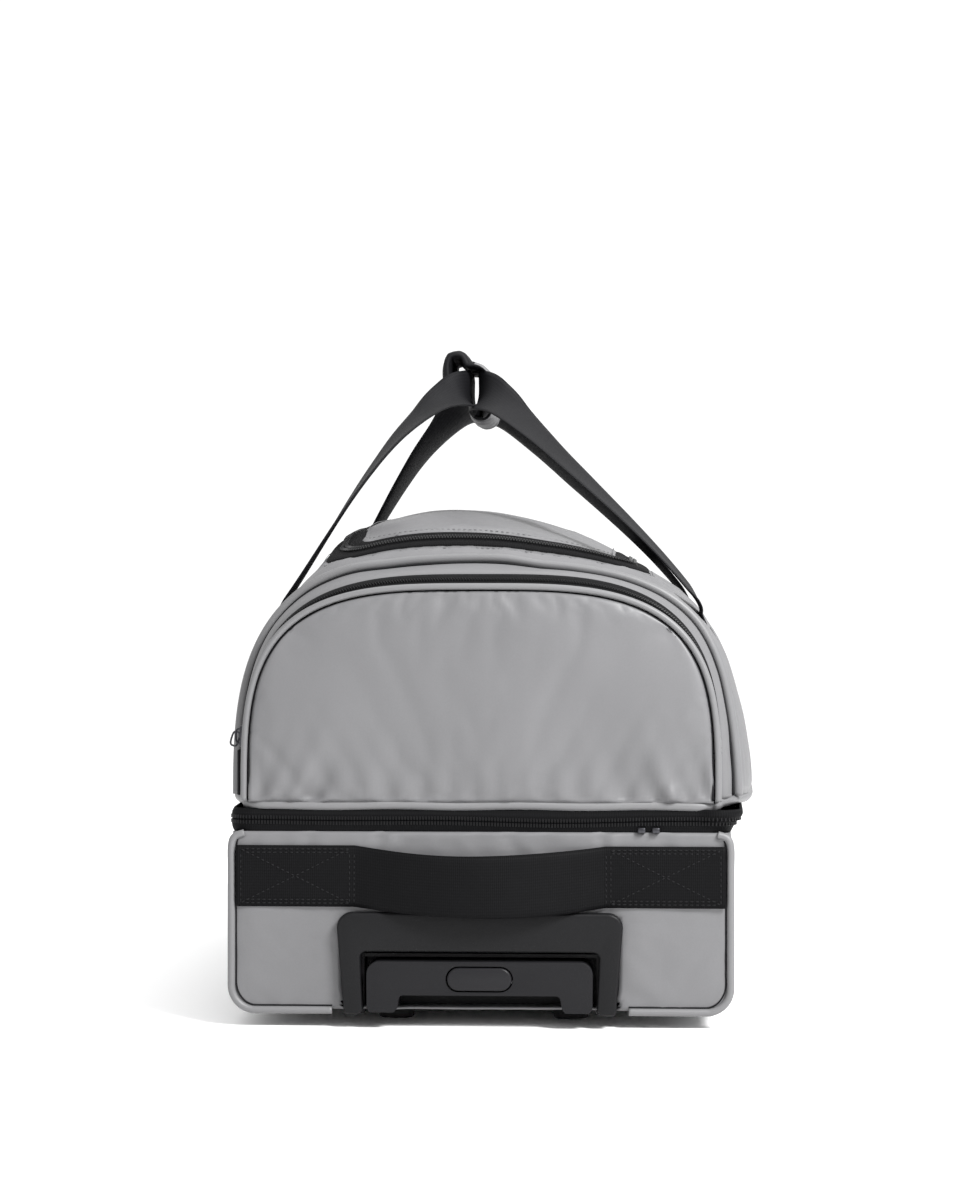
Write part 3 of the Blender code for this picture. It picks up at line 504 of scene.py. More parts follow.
# ------------------------------------------------------------ materials
class Nodes:
    def __init__(self, name, rough, metal=0.0, spec=0.5):
        self.m = bpy.data.materials.new(name)
        self.m.use_nodes = True
        self.t = self.m.node_tree
        self.b = self.t.nodes["Principled BSDF"]
        self.b.inputs["Roughness"].default_value = rough
        self.b.inputs["Metallic"].default_value = metal
        self.b.inputs["Specular IOR Level"].default_value = spec
        self.co = self.t.nodes.new("ShaderNodeTexCoord")

    def new(self, kind, **kw):
        n = self.t.nodes.new(kind)
        for k, v in kw.items():
            setattr(n, k, v)
        return n

    def link(self, a, b):
        self.t.links.new(a, b)

    def math(self, op, a, b=None):
        n = self.new("ShaderNodeMath", operation=op)
        for i, v in enumerate((a, b)):
            if v is None:
                continue
            if isinstance(v, (int, float)):
                n.inputs[i].default_value = v
            else:
                self.link(v, n.inputs[i])
        return n.outputs[0]

    def noise(self, scale, detail=3.0, rough=0.5, uv=False, stretch=None):
        n = self.new("ShaderNodeTexNoise")
        n.inputs["Scale"].default_value = scale
        n.inputs["Detail"].default_value = detail
        n.inputs["Roughness"].default_value = rough
        src = self.co.outputs["UV" if uv else "Object"]
        if stretch:
            mp = self.new("ShaderNodeMapping")
            mp.inputs["Scale"].default_value = stretch
            self.link(src, mp.inputs["Vector"])
            src = mp.outputs[0]
        self.link(src, n.inputs["Vector"])
        return n.outputs["Fac"]

    def ribs(self, axis, period, uv=True):
        """Sine along one axis of the surface, 0 to 1."""
        sep = self.new("ShaderNodeSeparateXYZ")
        self.link(self.co.outputs["UV" if uv else "Object"], sep.inputs[0])
        s = self.math("MULTIPLY", sep.outputs[axis], 2 * math.pi / period)
        s = self.math("SINE", s)
        return self.math("ADD", self.math("MULTIPLY", s, 0.5), 0.5)

    def tint(self, fac, lo, hi, at=(0.3, 0.7)):
        r = self.new("ShaderNodeValToRGB")
        r.color_ramp.elements[0].position, r.color_ramp.elements[1].position = at
        r.color_ramp.elements[0].color = (*lo, 1)
        r.color_ramp.elements[1].color = (*hi, 1)
        self.link(fac, r.inputs[0])
        return r.outputs[0]

    def base(self, colour):
        self.link(colour, self.b.inputs["Base Color"])

    def mix(self, kind, fac, a, b):
        n = self.new("ShaderNodeMix", data_type="RGBA", blend_type=kind)
        if isinstance(fac, (int, float)):
            n.inputs[0].default_value = fac
        else:
            self.link(fac, n.inputs[0])
        self.link(a, n.inputs[6])
        self.link(b, n.inputs[7])
        return n.outputs[2]

    def rough(self, fac, lo, hi):
        n = self.new("ShaderNodeMapRange")
        n.inputs["To Min"].default_value = lo
        n.inputs["To Max"].default_value = hi
        self.link(fac, n.inputs["Value"])
        self.link(n.outputs[0], self.b.inputs["Roughness"])

    def bump(self, height, distance, strength=1.0):
        n = self.new("ShaderNodeBump")
        n.inputs["Strength"].default_value = strength
        n.inputs["Distance"].default_value = distance
        self.link(height, n.inputs["Height"])
        self.link(n.outputs[0], self.b.inputs["Normal"])


def fabric(name, c, rough=0.50, weave=0.00075, var=0.05, uv=True, sheen=0.0, spec=0.42):
    k = Nodes(name, rough, 0.0, spec)
    big = k.noise(7.0, 4.0, 0.55)
    lo = tuple(v * (1 - var) for v in c)
    hi = tuple(v * (1 + var) for v in c)
    col = k.tint(big, lo, hi)
    fine = k.noise(900.0, 2.0, 0.6)
    k.base(k.mix("MULTIPLY", 0.10, col, k.tint(fine, (0.55, 0.55, 0.56), (1, 1, 1), (0.35, 0.65))))
    if uv:
        h = k.math("MULTIPLY", k.ribs(0, weave), k.ribs(1, weave))
    else:
        h = fine
    h = k.math("ADD", k.math("MULTIPLY", h, 0.55), k.math("MULTIPLY", fine, 0.45))
    k.bump(h, 0.00012, 0.35)
    k.rough(k.noise(160.0, 3.0, 0.6), rough - 0.05, rough + 0.07)
    if sheen:
        k.b.inputs["Sheen Weight"].default_value = sheen
        k.b.inputs["Sheen Roughness"].default_value = 0.4
    return k.m


def webbing(name, c, rib=0.00135, row=0.0021, rough=0.62, depth=0.00030, lift=1.9, spec=0.13):
    k = Nodes(name, rough, 0.0, spec)
    r = k.ribs(0, rib)
    s = k.ribs(1, row)
    h = k.math("ADD", k.math("MULTIPLY", r, 0.7), k.math("MULTIPLY", s, 0.3))
    fuzz = k.noise(700.0, 3.0, 0.65)
    h2 = k.math("ADD", h, k.math("MULTIPLY", fuzz, 0.35))
    # colour follows the rib height, darker in the grooves and lighter on the crests: painted shade and painted
    # highlight of the weave relief
    col = k.tint(h, tuple(v * 0.55 for v in c), tuple(v * lift for v in c), (0.15, 0.95))
    k.base(k.mix("MULTIPLY", 0.35, col, k.tint(k.noise(60.0, 4.0), (0.6, 0.6, 0.62), (1, 1, 1))))
    k.bump(h2, depth, 0.55)
    k.rough(fuzz, rough - 0.08, rough + 0.12)
    return k.m


def plastic(name, c, rough, grain=0.0006, depth=0.00010, strength=0.45, spec=0.5):
    k = Nodes(name, rough, 0.0, spec)
    v = k.new("ShaderNodeTexVoronoi")
    v.inputs["Scale"].default_value = 1.0 / grain
    k.link(k.co.outputs["Object"], v.inputs["Vector"])
    n = k.noise(0.6 / grain, 3.0, 0.6)
    k.bump(k.math("ADD", v.outputs["Distance"], n), depth, strength)
    k.base(k.tint(k.noise(12.0, 4.0), tuple(q * 0.90 for q in c), tuple(q * 1.10 for q in c)))
    k.rough(k.noise(90.0, 3.0), rough - 0.06, rough + 0.06)
    return k.m


def metal(name, c, rough, brushed=None):
    k = Nodes(name, rough, 1.0)
    n = k.noise(260.0, 4.0, 0.6, stretch=brushed or (1, 1, 1))
    k.base(k.tint(n, tuple(q * 0.88 for q in c), tuple(min(1, q * 1.08) for q in c)))
    k.rough(n, rough - 0.06, rough + 0.12)
    k.bump(n, 0.00003, 0.25)
    return k.m


def rubber(name, c, rough=0.8):
    k = Nodes(name, rough, 0.0, 0.3)
    n = k.noise(420.0, 4.0, 0.7)
    k.base(k.tint(k.noise(30.0, 4.0), tuple(q * 0.8 for q in c), tuple(q * 1.25 for q in c)))
    k.rough(n, rough - 0.1, rough + 0.1)
    k.bump(n, 0.00015, 0.4)
    return k.m


GREY = fabric("coated_grey_fabric", (0.0965, 0.0960, 0.0995), 0.47)
# the piping uses the fabric's grey made a little lighter: painted highlight of the rounded cord
GREY_PIPE = fabric("grey_piping", (0.1075, 0.1072, 0.1100), 0.48, weave=0.0009, var=0.03)
GREY_BACK = fabric("grey_fabric_inside", (0.045, 0.045, 0.048), 0.75, var=0.08)
BOARD = fabric("dark_board_cloth", (0.016, 0.016, 0.017), 0.85, uv=False, var=0.15, spec=0.2)
WEB = webbing("black_webbing", (0.0022, 0.0022, 0.0025), depth=0.00022, spec=0.06)
STRAP = webbing("black_strap_webbing", (0.0050, 0.0050, 0.0058), rib=0.0016, row=0.0026, depth=0.00022, rough=0.55, spec=0.08)
TAPE = webbing("black_zip_tape", (0.0025, 0.0025, 0.0028), rib=0.00125, row=0.0028, rough=0.72, spec=0.06)
TOOTH = plastic("black_zip_teeth", (0.0035, 0.0035, 0.0039), 0.42, grain=0.0004, depth=0.00004, spec=0.16)
THREAD = fabric("black_thread", (0.0060, 0.0060, 0.0066), 0.70, uv=False, spec=0.14)
THREAD_GREY = fabric("grey_thread", (0.088, 0.088, 0.091), 0.60, uv=False)
PLASTIC = plastic("black_grained_plastic", (0.0040, 0.0040, 0.0045), 0.46, grain=0.0008, depth=0.00016, strength=0.5, spec=0.13)
PLASTIC_FINE = plastic("black_fine_plastic", (0.0068, 0.0067, 0.0076), 0.42, grain=0.0007, depth=0.00014, spec=0.12)
BUTTON = plastic("satin_button", (0.0085, 0.0083, 0.0094), 0.36, grain=0.0005, depth=0.00008, spec=0.13)
ALU = metal("brushed_aluminium", (0.36, 0.365, 0.38), 0.30, (12, 0.4, 12))
STEEL = metal("steel", (0.33, 0.33, 0.345), 0.28)
SLIDER = metal("dark_slider_metal", (0.045, 0.045, 0.050), 0.34)
RUBBER = rubber("tyre_rubber", (0.012, 0.012, 0.0125))
FOOT = rubber("foot_rubber", (0.008, 0.008, 0.0085), 0.72)
# black padding colour, also used for the thin dark seam cords, which are painted shadow lines
PAD_AND_SHADOW_LINES = fabric("black_padding_and_seam_shadow", (0.0042, 0.0042, 0.0050), 0.62, weave=0.0011, var=0.12, spec=0.13)
FINISH = {"fabric_grey": GREY, "piping_grey": GREY_PIPE, "webbing_black": WEB, "zip_black": TAPE,
          "plastic_black": PLASTIC, "button_black": BUTTON, "tube_aluminium": ALU, "steel": STEEL,
          "slider_metal": SLIDER, "tyre_rubber": RUBBER, "foot_rubber": FOOT, "board_dark": BOARD}

PIECES = []


def place(ob, body, slot, *nodes, to=None, start=None, end=None):
    """Puts a finished piece on its body; when to is given it only bakes the piece's transform in place."""
    if to:
        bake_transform(ob)
    else:
        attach(ob, body)
    if nodes:
        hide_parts(*nodes)
    PIECES.append(ob)
    return ob


# ------------------------------------------------------------ upper case: main fabric
LF, LR, LH, LC, LT = 0.0846, 0.6045, 0.1184, 0.030, 0.0120
MAIN_D = 0.0635


def surface(d, x, off=0.0):
    """Point on the top of the upper case above plan position (x, d), and its outward normal."""
    x, d = np.asarray(x, float), np.asarray(d, float)
    z = top_height(d, x)
    e = 5e-4
    zx = (top_height(d, x + e) - top_height(d, x - e)) / (2 * e)
    zd = (top_height(d + e, x) - top_height(d - e, x)) / (2 * e)
    n = unit(np.stack([-zx, -zd, np.ones_like(zx)], -1))
    p = np.stack([x, d + FY, z], -1)
    return p + n * np.asarray(off)[..., None], n


def arch_row(d, cols, off=0.0, low=UPPER_BOTTOM):
    """Row of points over the arch at d, equally spaced, pushed out by off; also lengths and normals."""
    x, z, run = profile(d, 0.0, low)
    s = np.linspace(0, run[-1], cols)
    px, pz = np.interp(s, run, x), np.interp(s, run, z)
    tx, tz = np.gradient(px), np.gradient(pz)
    m = np.hypot(tx, tz)
    nx, nz = -tz / m, tx / m
    p = np.stack([px + nx * off, np.full(cols, d + FY), pz + nz * off], 1)
    return p, s - run[-1] / 2, np.stack([nx, np.zeros(cols), nz], 1)


rows = [(d, 0.0) for d in np.linspace(MAIN_D, LF, 5)]
rows += [(LF + LC - LC * math.cos(a), 0.0) for a in np.linspace(0, math.pi / 2, 9)[1:]]
rows += [(d, 0.0) for d in np.linspace(LF + LC, LR, 66)[1:]]
rows += [(d, 0.0) for d in np.linspace(LR, 0.6590, 9)[1:]]
rows += [(0.6590 + 0.0050 * math.sin(a), -0.0050 * (1 - math.cos(a))) for a in (0.5, 1.0, 1.5)]
V, F, UV, pin = [], [], [], []
NL, NM = 30, 34
blocks = {"l": [], "r": [], "f": [], "b": []}
for d, grow in rows:
    pr = profile(d, grow)
    L = pr[2][-1]
    if d <= LF + 1e-9:
        xe = LH - LC
    elif d < LF + LC - 1e-9:
        c = (LF + LC - d) / LC
        xe = LH - LC + LC * math.sqrt(max(0.0, 1 - c * c))
    else:
        xe = LH
    k = len(pr[0]) // 2
    sl = float(np.interp(-xe, pr[0][1:k], pr[2][1:k]))
    for key, s in (("l", np.linspace(0, sl, NL)), ("r", np.linspace(L - sl, L, NL)),
                   ("m", np.linspace(sl, L - sl, NM))):
        if key == "m":
            if d <= LF + 1e-9:
                key = "f"
            elif d >= LR - 1e-9:
                key = "b"
            else:
                continue
        x, z = on_profile(pr, s)
        blocks[key].append((np.stack([x, np.full(len(x), d + FY), z], 1),
                            np.stack([s - L / 2, np.full(len(x), d)], 1)))
for key, rws in blocks.items():
    base = len(V)
    n = len(rws[0][0])
    for p, q in rws:
        V += p.tolist()
        UV += q.tolist()
    F += quads(len(rws), n, False, base)
V, F, UV = weld(V, F, UV)
shell = make("upper_case_fabric", V, F, UV, (GREY, GREY_BACK))
bm = bmesh.new()
bm.from_mesh(shell.data)
bmesh.ops.recalc_face_normals(bm, faces=bm.faces[:])
if sum(f.normal.z for f in bm.faces) < 0:
    bmesh.ops.reverse_faces(bm, faces=bm.faces[:])
edge = np.zeros(len(bm.verts), bool)
for e in bm.edges:
    if len(e.link_faces) == 1:
        edge[e.verts[0].index] = edge[e.verts[1].index] = True
bm.to_mesh(shell.data)
bm.free()
relax(shell, edge.astype(float), frames=14, pressure=0.9, shrink=-0.008, cap=0.0035)


def swell(ob, edge_mask, amp, seed, sizes=((0.070, 1.0), (0.030, 0.35)), reach=0.020):
    """Small uneven swells in a fabric panel that die out at its seams."""
    co = coords(ob)
    me = ob.data
    nn = np.empty(len(me.vertices) * 3)
    me.vertices.foreach_get("normal", nn)
    nn = nn.reshape(-1, 3)
    held = co[edge_mask]
    step = max(1, len(held) // 500)
    held = held[::step]
    dist = np.sqrt(((co[:, None, :] - held[None]) ** 2).sum(-1)).min(1)
    k = np.clip(dist / reach, 0, 1)
    k = k * k * (3 - 2 * k)
    h = sum(ripple(co, s, seed + i * 5) * a for i, (s, a) in enumerate(sizes))
    return set_coords(ob, co + nn * (h * amp * k)[:, None]), dist


swell(shell, edge, 0.0016, 3)
thicken(shell, 0.0015)
place(leaned(shell), "upper_case", "fabric_grey", "upper_shell")

# fabric arch between the pocket zip and the main seam, with a groove along the seam
COLS = 150
V, UV = [], []
ARCH_ROWS = ((0.0320, -0.0018), (0.0328, -0.0006), (0.0350, 0.0002), (0.0400, 0.0006), (0.0460, 0.0006),
             (0.0520, 0.0003), (0.0560, -0.0004), (0.0585, -0.0016), (0.0605, -0.0034))
for d, off in ARCH_ROWS:
    p, s, nn = arch_row(d, COLS, off)
    V += p.tolist()
    UV += np.stack([s, np.full(COLS, d)], 1).tolist()
arch_gusset = outward(make("pocket_arch_fabric", V, quads(len(ARCH_ROWS), COLS), UV, (GREY, GREY_BACK)))
co = coords(arch_gusset)
k = np.sin(np.clip((co[:, 1] - FY - 0.033) / 0.027, 0, 1) * math.pi)
co[:, 2] += ripple(co, 0.045, 9) * 0.0011 * k * (co[:, 2] > 0.25)
co[:, 0] += ripple(co, 0.022, 12) * 0.0010 * k * (co[:, 2] <= 0.25)
set_coords(arch_gusset, co)
thicken(arch_gusset, 0.0014)
place(leaned(arch_gusset), "upper_case", "fabric_grey", "pocket_arch_gusset")


def arch_path(d, off, low, count=240, shift=0.0):
    p, s, nn = arch_row(d, count, off, low)
    p[:, 1] += shift
    return p


p = arch_path(0.0640, 0.0012, UPPER_BOTTOM + 0.0012)
main_cord = cord("main_seam_piping", p, 0.0036, GREY_PIPE, 12)
place(leaned(main_cord), "upper_case", "piping_grey")
# thin dark cord in the main seam: painted shadow of the seam groove
p = arch_path(0.0590, -0.0007, UPPER_BOTTOM + 0.002)
painted_seam_shadow = cord("main_seam_shadow_cord", p, 0.0011, PAD_AND_SHADOW_LINES, 6)
place(leaned(painted_seam_shadow), "upper_case", "zip_black")

# ------------------------------------------------------------ rear wall of the upper case
def d_outline(grow, y, low=UPPER_BOTTOM, n=60, d=0.0):
    """Bottom, top, left and right edges of the D-shaped end panels."""
    x, z, run = profile(d, grow, low)
    half = len(x) // 2
    slope = np.abs(np.gradient(z)) - np.abs(np.gradient(x))
    k = next(i for i in range(5, half) if slope[i] < 0 and z[i] > 0.24)
    sk, L = run[k], run[-1]

    def seg(a, b, m):
        s = np.linspace(a, b, m)
        px, pz = np.interp(s, run, x), np.interp(s, run, z)
        return np.stack([px, np.full(m, y), pz], 1)

    m = int(n * 0.62)
    left, top, right = seg(0, sk, m), seg(sk, L - sk, n), seg(L, L - sk, m)
    bottom = np.linspace(left[0], right[0], n)
    return bottom, top, left, right


def d_sheet(name, grow, y, n, mats, d=0.0, low=UPPER_BOTTOM):
    s = coons(*d_outline(grow, y, low, n, d))
    r, c = s.shape[:2]
    v = s.reshape(-1, 3)
    ob = make(name, v, quads(r, c), np.stack([v[:, 0], v[:, 2]], 1), mats)
    held = np.zeros((r, c), bool)
    held[0], held[-1], held[:, 0], held[:, -1] = True, True, True, True
    return ob, held.ravel()


def face_y(ob, sign):
    bm = bmesh.new()
    bm.from_mesh(ob.data)
    if sum(f.normal.y * f.calc_area() for f in bm.faces) * sign < 0:
        bmesh.ops.reverse_faces(bm, faces=bm.faces[:])
    bm.to_mesh(ob.data)
    bm.free()
    return ob


rear, held = d_sheet("rear_panel", -0.0030, Y(LENGTH - 0.0005), 56, (GREY, GREY_BACK), LENGTH)
face_y(rear, 1)
relax(rear, held.astype(float), frames=14, pressure=1.2, shrink=-0.012, cap=0.0035)
swell(rear, held, 0.0012, 21)
co = coords(rear)
co[:, 1] = np.minimum(co[:, 1], Y(LENGTH + 0.0036))
set_coords(rear, co)
thicken(rear, 0.0014)
place(leaned(rear), "upper_case", "fabric_grey")
p = arch_path(LENGTH, -0.0022, UPPER_BOTTOM + 0.001)
p[:, 1] = Y(LENGTH - 0.0012)
rear_pipe = cord("rear_seam_piping", p, 0.0022, GREY_PIPE, 10)
place(leaned(rear_pipe), "upper_case", "piping_grey")

# ------------------------------------------------------------ front pocket
PZ = 0.2000
panel, held = d_sheet("pocket_panel", -0.0030, Y(-0.0002), 100, (GREY, GREY_BACK))
face_y(panel, -1)
co = coords(panel)
zb, zt = UPPER_BOTTOM, 0.308
u = np.clip(np.abs(co[:, 0]) / 0.166, 0, 1)
w = np.clip((co[:, 2] - zb) / (zt - zb), 0, 1)
co[:, 1] -= 0.0022 * (1 - u ** 4) * np.sin(math.pi * w) ** 0.6
set_coords(panel, co)
relax(panel, held.astype(float), frames=20, pressure=1.6, shrink=-0.010, cap=0.0042, stiff=9.0, bend=1.2)
co = coords(panel)
h = co[:, 2] - zb
seam = np.exp(-h / 0.0155) * np.clip(h / 0.0025, 0, 1)
x = co[:, 0]
# gathers along the bottom seam: short folds that lean outwards and fade upwards
fan = x + 0.55 * h * np.sign(x) * np.abs(x) / 0.16
local = 0.55 + 0.9 * np.exp(-((x + 0.118) / 0.030) ** 2) + 0.8 * np.exp(-((x - 0.128) / 0.034) ** 2)
fold = np.sin(2 * math.pi * fan / 0.021 + 2.2 * np.sin(x * 37.0) + 0.8)
co[:, 1] -= 0.0020 * seam * local * fold
deep = np.exp(-h / 0.040) * np.clip(h / 0.004, 0, 1)
for cx, lean_k, wid, amp in ((-0.142, 0.75, 0.011, 0.0020), (-0.118, 0.55, 0.010, -0.0017),
                             (-0.092, 0.40, 0.012, 0.0013), (0.112, -0.45, 0.012, -0.0012),
                             (0.138, -0.60, 0.011, 0.0019), (0.150, -0.25, 0.008, -0.0012),
                             (0.030, 0.15, 0.020, 0.0007), (-0.030, -0.1, 0.018, -0.0006)):
    co[:, 1] -= 1.8 * amp * deep * np.exp(-((x - cx - lean_k * h) / (wid * (1 + h / 0.05))) ** 2)
inside = np.clip(np.minimum(np.minimum((0.163 - np.abs(x)) / 0.02, h / 0.02), (0.306 - co[:, 2]) / 0.03), 0, 1)
co[:, 1] -= 0.0018 * inside * ripple(co, 0.085, 31) + 0.0007 * inside * ripple(co, 0.035, 37)
set_coords(panel, co)
thicken(panel, 0.0014)
place(panel, "upper_case", "fabric_grey", "pocket_flap_panel", "pocket_panel_lower",
      to="pocket_flap", start=(0, FY, 0.1945), end=(0, FY, 0.2065))

p = arch_path(0.0, 0.0004, UPPER_BOTTOM + 0.0008, 260)
p[:, 1] = Y(0.0014)
pipe = cord("pocket_piping", p, 0.0024, GREY_PIPE, 12)
place(pipe, "upper_case", "piping_grey", "pocket_flap_piping", "pocket_piping_left", "pocket_piping_right",
      to="pocket_flap", start=(0, FY, 0.1945), end=(0, FY, 0.2065))
# thin dark cord just behind the pocket piping: painted shadow line along the seam
p = arch_path(0.0, -0.0033, UPPER_BOTTOM + 0.0015, 200)
p[:, 1] = Y(-0.0002)
pocket_piping_shadow_cord = cord("pocket_piping_shadow_line", p, 0.0006, PAD_AND_SHADOW_LINES, 6)
place(pocket_piping_shadow_cord, "upper_case", "zip_black",
      to="pocket_flap", start=(0, FY, 0.1945), end=(0, FY, 0.2065))


def arch_tape(name, d0, d1, low, offs, mats):
    """Zip tape over the arch; offs are heights across the tape."""
    V, UV = [], []
    n = len(offs)
    for i, off in enumerate(offs):
        d = d0 + (d1 - d0) * i / (n - 1)
        p, s, nn = arch_row(d, 170, off, low)
        V += p.tolist()
        UV += np.stack([s, np.full(170, d)], 1).tolist()
    ob = outward(make(name, V, quads(n, 170), UV, mats))
    return thicken(ob, 0.0009)


def arch_teeth(name, d, low, off, length=0.0030, pitch=0.0020):
    p, s, nn = arch_row(d, 900, off, low)
    total = s[-1] - s[0]
    m = int(total / pitch)
    at = np.linspace(s[0] + pitch, s[-1] - pitch, m)
    q = np.stack([np.interp(at, s, p[:, k]) for k in range(3)], 1)
    nq = unit(np.stack([np.interp(at, s, nn[:, k]) for k in range(3)], 1))
    t = unit(np.gradient(q, axis=0))
    return boxes(name, q, t, np.tile((0.0, 1.0, 0.0), (m, 1)), nq, length, 0.0013, 0.0011, TOOTH)


front_tape = arch_tape("pocket_zip_tape_front", 0.0036, 0.0177, PZ + 0.0003,
                       (-0.0004, -0.0002, 0.0000, -0.0001, -0.0004, -0.0004, -0.0002), TAPE)
place(front_tape, "pocket_flap", "zip_black", "pocket_zip_front_tape")
place(arch_teeth("pocket_zip_teeth_front", 0.0166, PZ + 0.0010, 0.0002), "pocket_flap", "zip_black")
rear_tape = arch_tape("pocket_zip_tape_rear", 0.0185, 0.0326, PZ + 0.0003,
                      (-0.0002, -0.0004, -0.0004, -0.0001, 0.0000, -0.0002, -0.0006), TAPE)
place(rear_tape, "upper_case", "zip_black", "pocket_zip_rear_tape")
place(arch_teeth("pocket_zip_teeth_rear", 0.0196, PZ + 0.0010, 0.0002), "upper_case", "zip_black")

# the pocket's side fabric below the zip ends, with the sewn stop patches
V, F, UV = [], [], []
for sx in (-1, 1):
    base = len(V)
    for i in range(16):
        z = UPPER_BOTTOM + (PZ + 0.0002 - UPPER_BOTTOM) * i / 15
        for j in range(14):
            d = 0.0034 + (0.0324 - 0.0034) * j / 13
            w = float(half_width(d, z)) - 0.0008
            k = math.sin(math.pi * j / 13)
            w += k * (0.0008 * math.sin(z * 520 + j * 0.55 + sx) * (1 - i / 15)
                      + 0.0007 * math.sin(z * 260 - j * 0.4))
            V.append((sx * w, d + FY, z))
            UV.append((d, z))
    F += quads(16, 14, False, base)
side_fabric = outward(make("pocket_side_fabric", V, F, UV, (GREY, GREY_BACK)))
bm = bmesh.new()
bm.from_mesh(side_fabric.data)
bad = [f for f in bm.faces if f.normal.x * f.calc_center_median().x < 0]
bmesh.ops.reverse_faces(bm, faces=bad)
bm.to_mesh(side_fabric.data)
bm.free()
thicken(side_fabric, 0.0014)
place(side_fabric, "upper_case", "fabric_grey", "pocket_gusset")
for side, sx in (("left", -1), ("right", 1)):
    V, UV, lines = [], [], []
    for i in range(6):
        z = 0.1895 + 0.0125 * i / 5
        for j in range(9):
            d = 0.0050 + 0.0265 * j / 8
            w = float(half_width(d, z)) + (0.0005 if 0 < i < 5 and 0 < j < 8 else -0.0004)
            V.append((sx * w, d + FY, z))
            UV.append((d, z))
    patch = make("zip_stop_patch_" + side, V, quads(6, 9), UV, GREY)
    bm = bmesh.new()
    bm.from_mesh(patch.data)
    if sum(f.normal.x for f in bm.faces) * sx < 0:
        bmesh.ops.reverse_faces(bm, faces=bm.faces[:])
    bm.to_mesh(patch.data)
    bm.free()
    thicken(patch, 0.0009)
    place(patch, "upper_case", "fabric_grey")
    for z in (0.1912, 0.1946):
        ds = np.linspace(0.0062, 0.0300, 12)
        q = np.stack([sx * (half_width(ds, z) + 0.0007), ds + FY, np.full(12, z)], 1)
        lines.append((q, np.tile((sx, 0.0, 0.0), (12, 1))))
    place(stitches("zip_stop_stitches_" + side, lines, THREAD_GREY, 0.0022, 0.0010, 0.00028),
          "upper_case", "fabric_grey")

# ------------------------------------------------------------ lid
def plan(inset, ns=80, nc=12, nf=40):
    hw, df = LH - inset, LF + inset
    r = max(0.008, LC - inset * 0.75)
    x = [-hw] * ns
    d = list(np.linspace(LR, df + r, ns, endpoint=False))
    for a in np.linspace(0, math.pi / 2, nc, endpoint=False):
        x.append(-hw + r - r * math.cos(a))
        d.append(df + r - r * math.sin(a))
    x += list(np.linspace(-hw + r, 0, nf))
    d += [df] * nf
    x = np.array(x + [-v for v in x[-2::-1]])
    d = np.array(d + d[-2::-1])
    return x, d


def lid_tape(name, i0, i1, offs, mats):
    V, UV = [], []
    (x0, d0), (x1, d1) = plan(i0), plan(i1)
    xm, dm = plan(0.5 * (i0 + i1))
    run = np.concatenate(([0], np.cumsum(np.hypot(np.diff(xm), np.diff(dm)))))
    n = len(offs)
    for i, off in enumerate(offs):
        k = i / (n - 1)
        x, d = x0 * (1 - k) + x1 * k, d0 * (1 - k) + d1 * k
        p, nn = surface(d, x, np.full(len(x), off))
        V += p.tolist()
        UV += np.stack([run, np.full(len(x), i0 + (i1 - i0) * k)], 1).tolist()
    ob = make(name, V, quads(n, len(x0)), UV, mats)
    bm = bmesh.new()
    bm.from_mesh(ob.data)
    if sum(f.normal.z for f in bm.faces) < 0:
        bmesh.ops.reverse_faces(bm, faces=bm.faces[:])
    bm.to_mesh(ob.data)
    bm.free()
    return thicken(ob, 0.0010)


def lid_teeth(name, inset, off):
    x, d = plan(inset, 300, 40, 160)
    p, nn = surface(d, x, np.full(len(x), off))
    run = np.concatenate(([0], np.cumsum(np.linalg.norm(np.diff(p, axis=0), axis=1))))
    m = int(run[-1] / 0.0021)
    at = np.linspace(0.001, run[-1] - 0.001, m)
    q = np.stack([np.interp(at, run, p[:, k]) for k in range(3)], 1)
    nq = unit(np.stack([np.interp(at, run, nn[:, k]) for k in range(3)], 1))
    t = unit(np.gradient(q, axis=0))
    return boxes(name, q, t, unit(np.cross(nq, t)), nq, 0.0031, 0.0013, 0.0012, TOOTH)


LID_BEND = dict(to="lid", start=(0, Y(LR + 0.0005), 0.35), end=(0, Y(LR - 0.0300), 0.35))
body_tape = lid_tape("lid_zip_tape_body", -0.0015, LT - 0.0002,
                     (0.0004, 0.0010, 0.0012, 0.0011, 0.0008, 0.0010, 0.0012), TAPE)
place(leaned(body_tape), "upper_case", "zip_black", "lid_zip_body_tape")
place(leaned(lid_teeth("lid_zip_teeth_body", LT - 0.0016, 0.0017)), "upper_case", "zip_black")
lid_side = lid_tape("lid_zip_tape_lid", LT + 0.0002, 2 * LT + 0.0015,
                    (0.0012, 0.0010, 0.0008, 0.0011, 0.0012, 0.0010, 0.0002), TAPE)
place(leaned(lid_side), "upper_case", "zip_black", "lid_zip_lid_tape", **LID_BEND)
place(leaned(lid_teeth("lid_zip_teeth_lid", LT + 0.0016, 0.0017)), "upper_case", "zip_black", **LID_BEND)

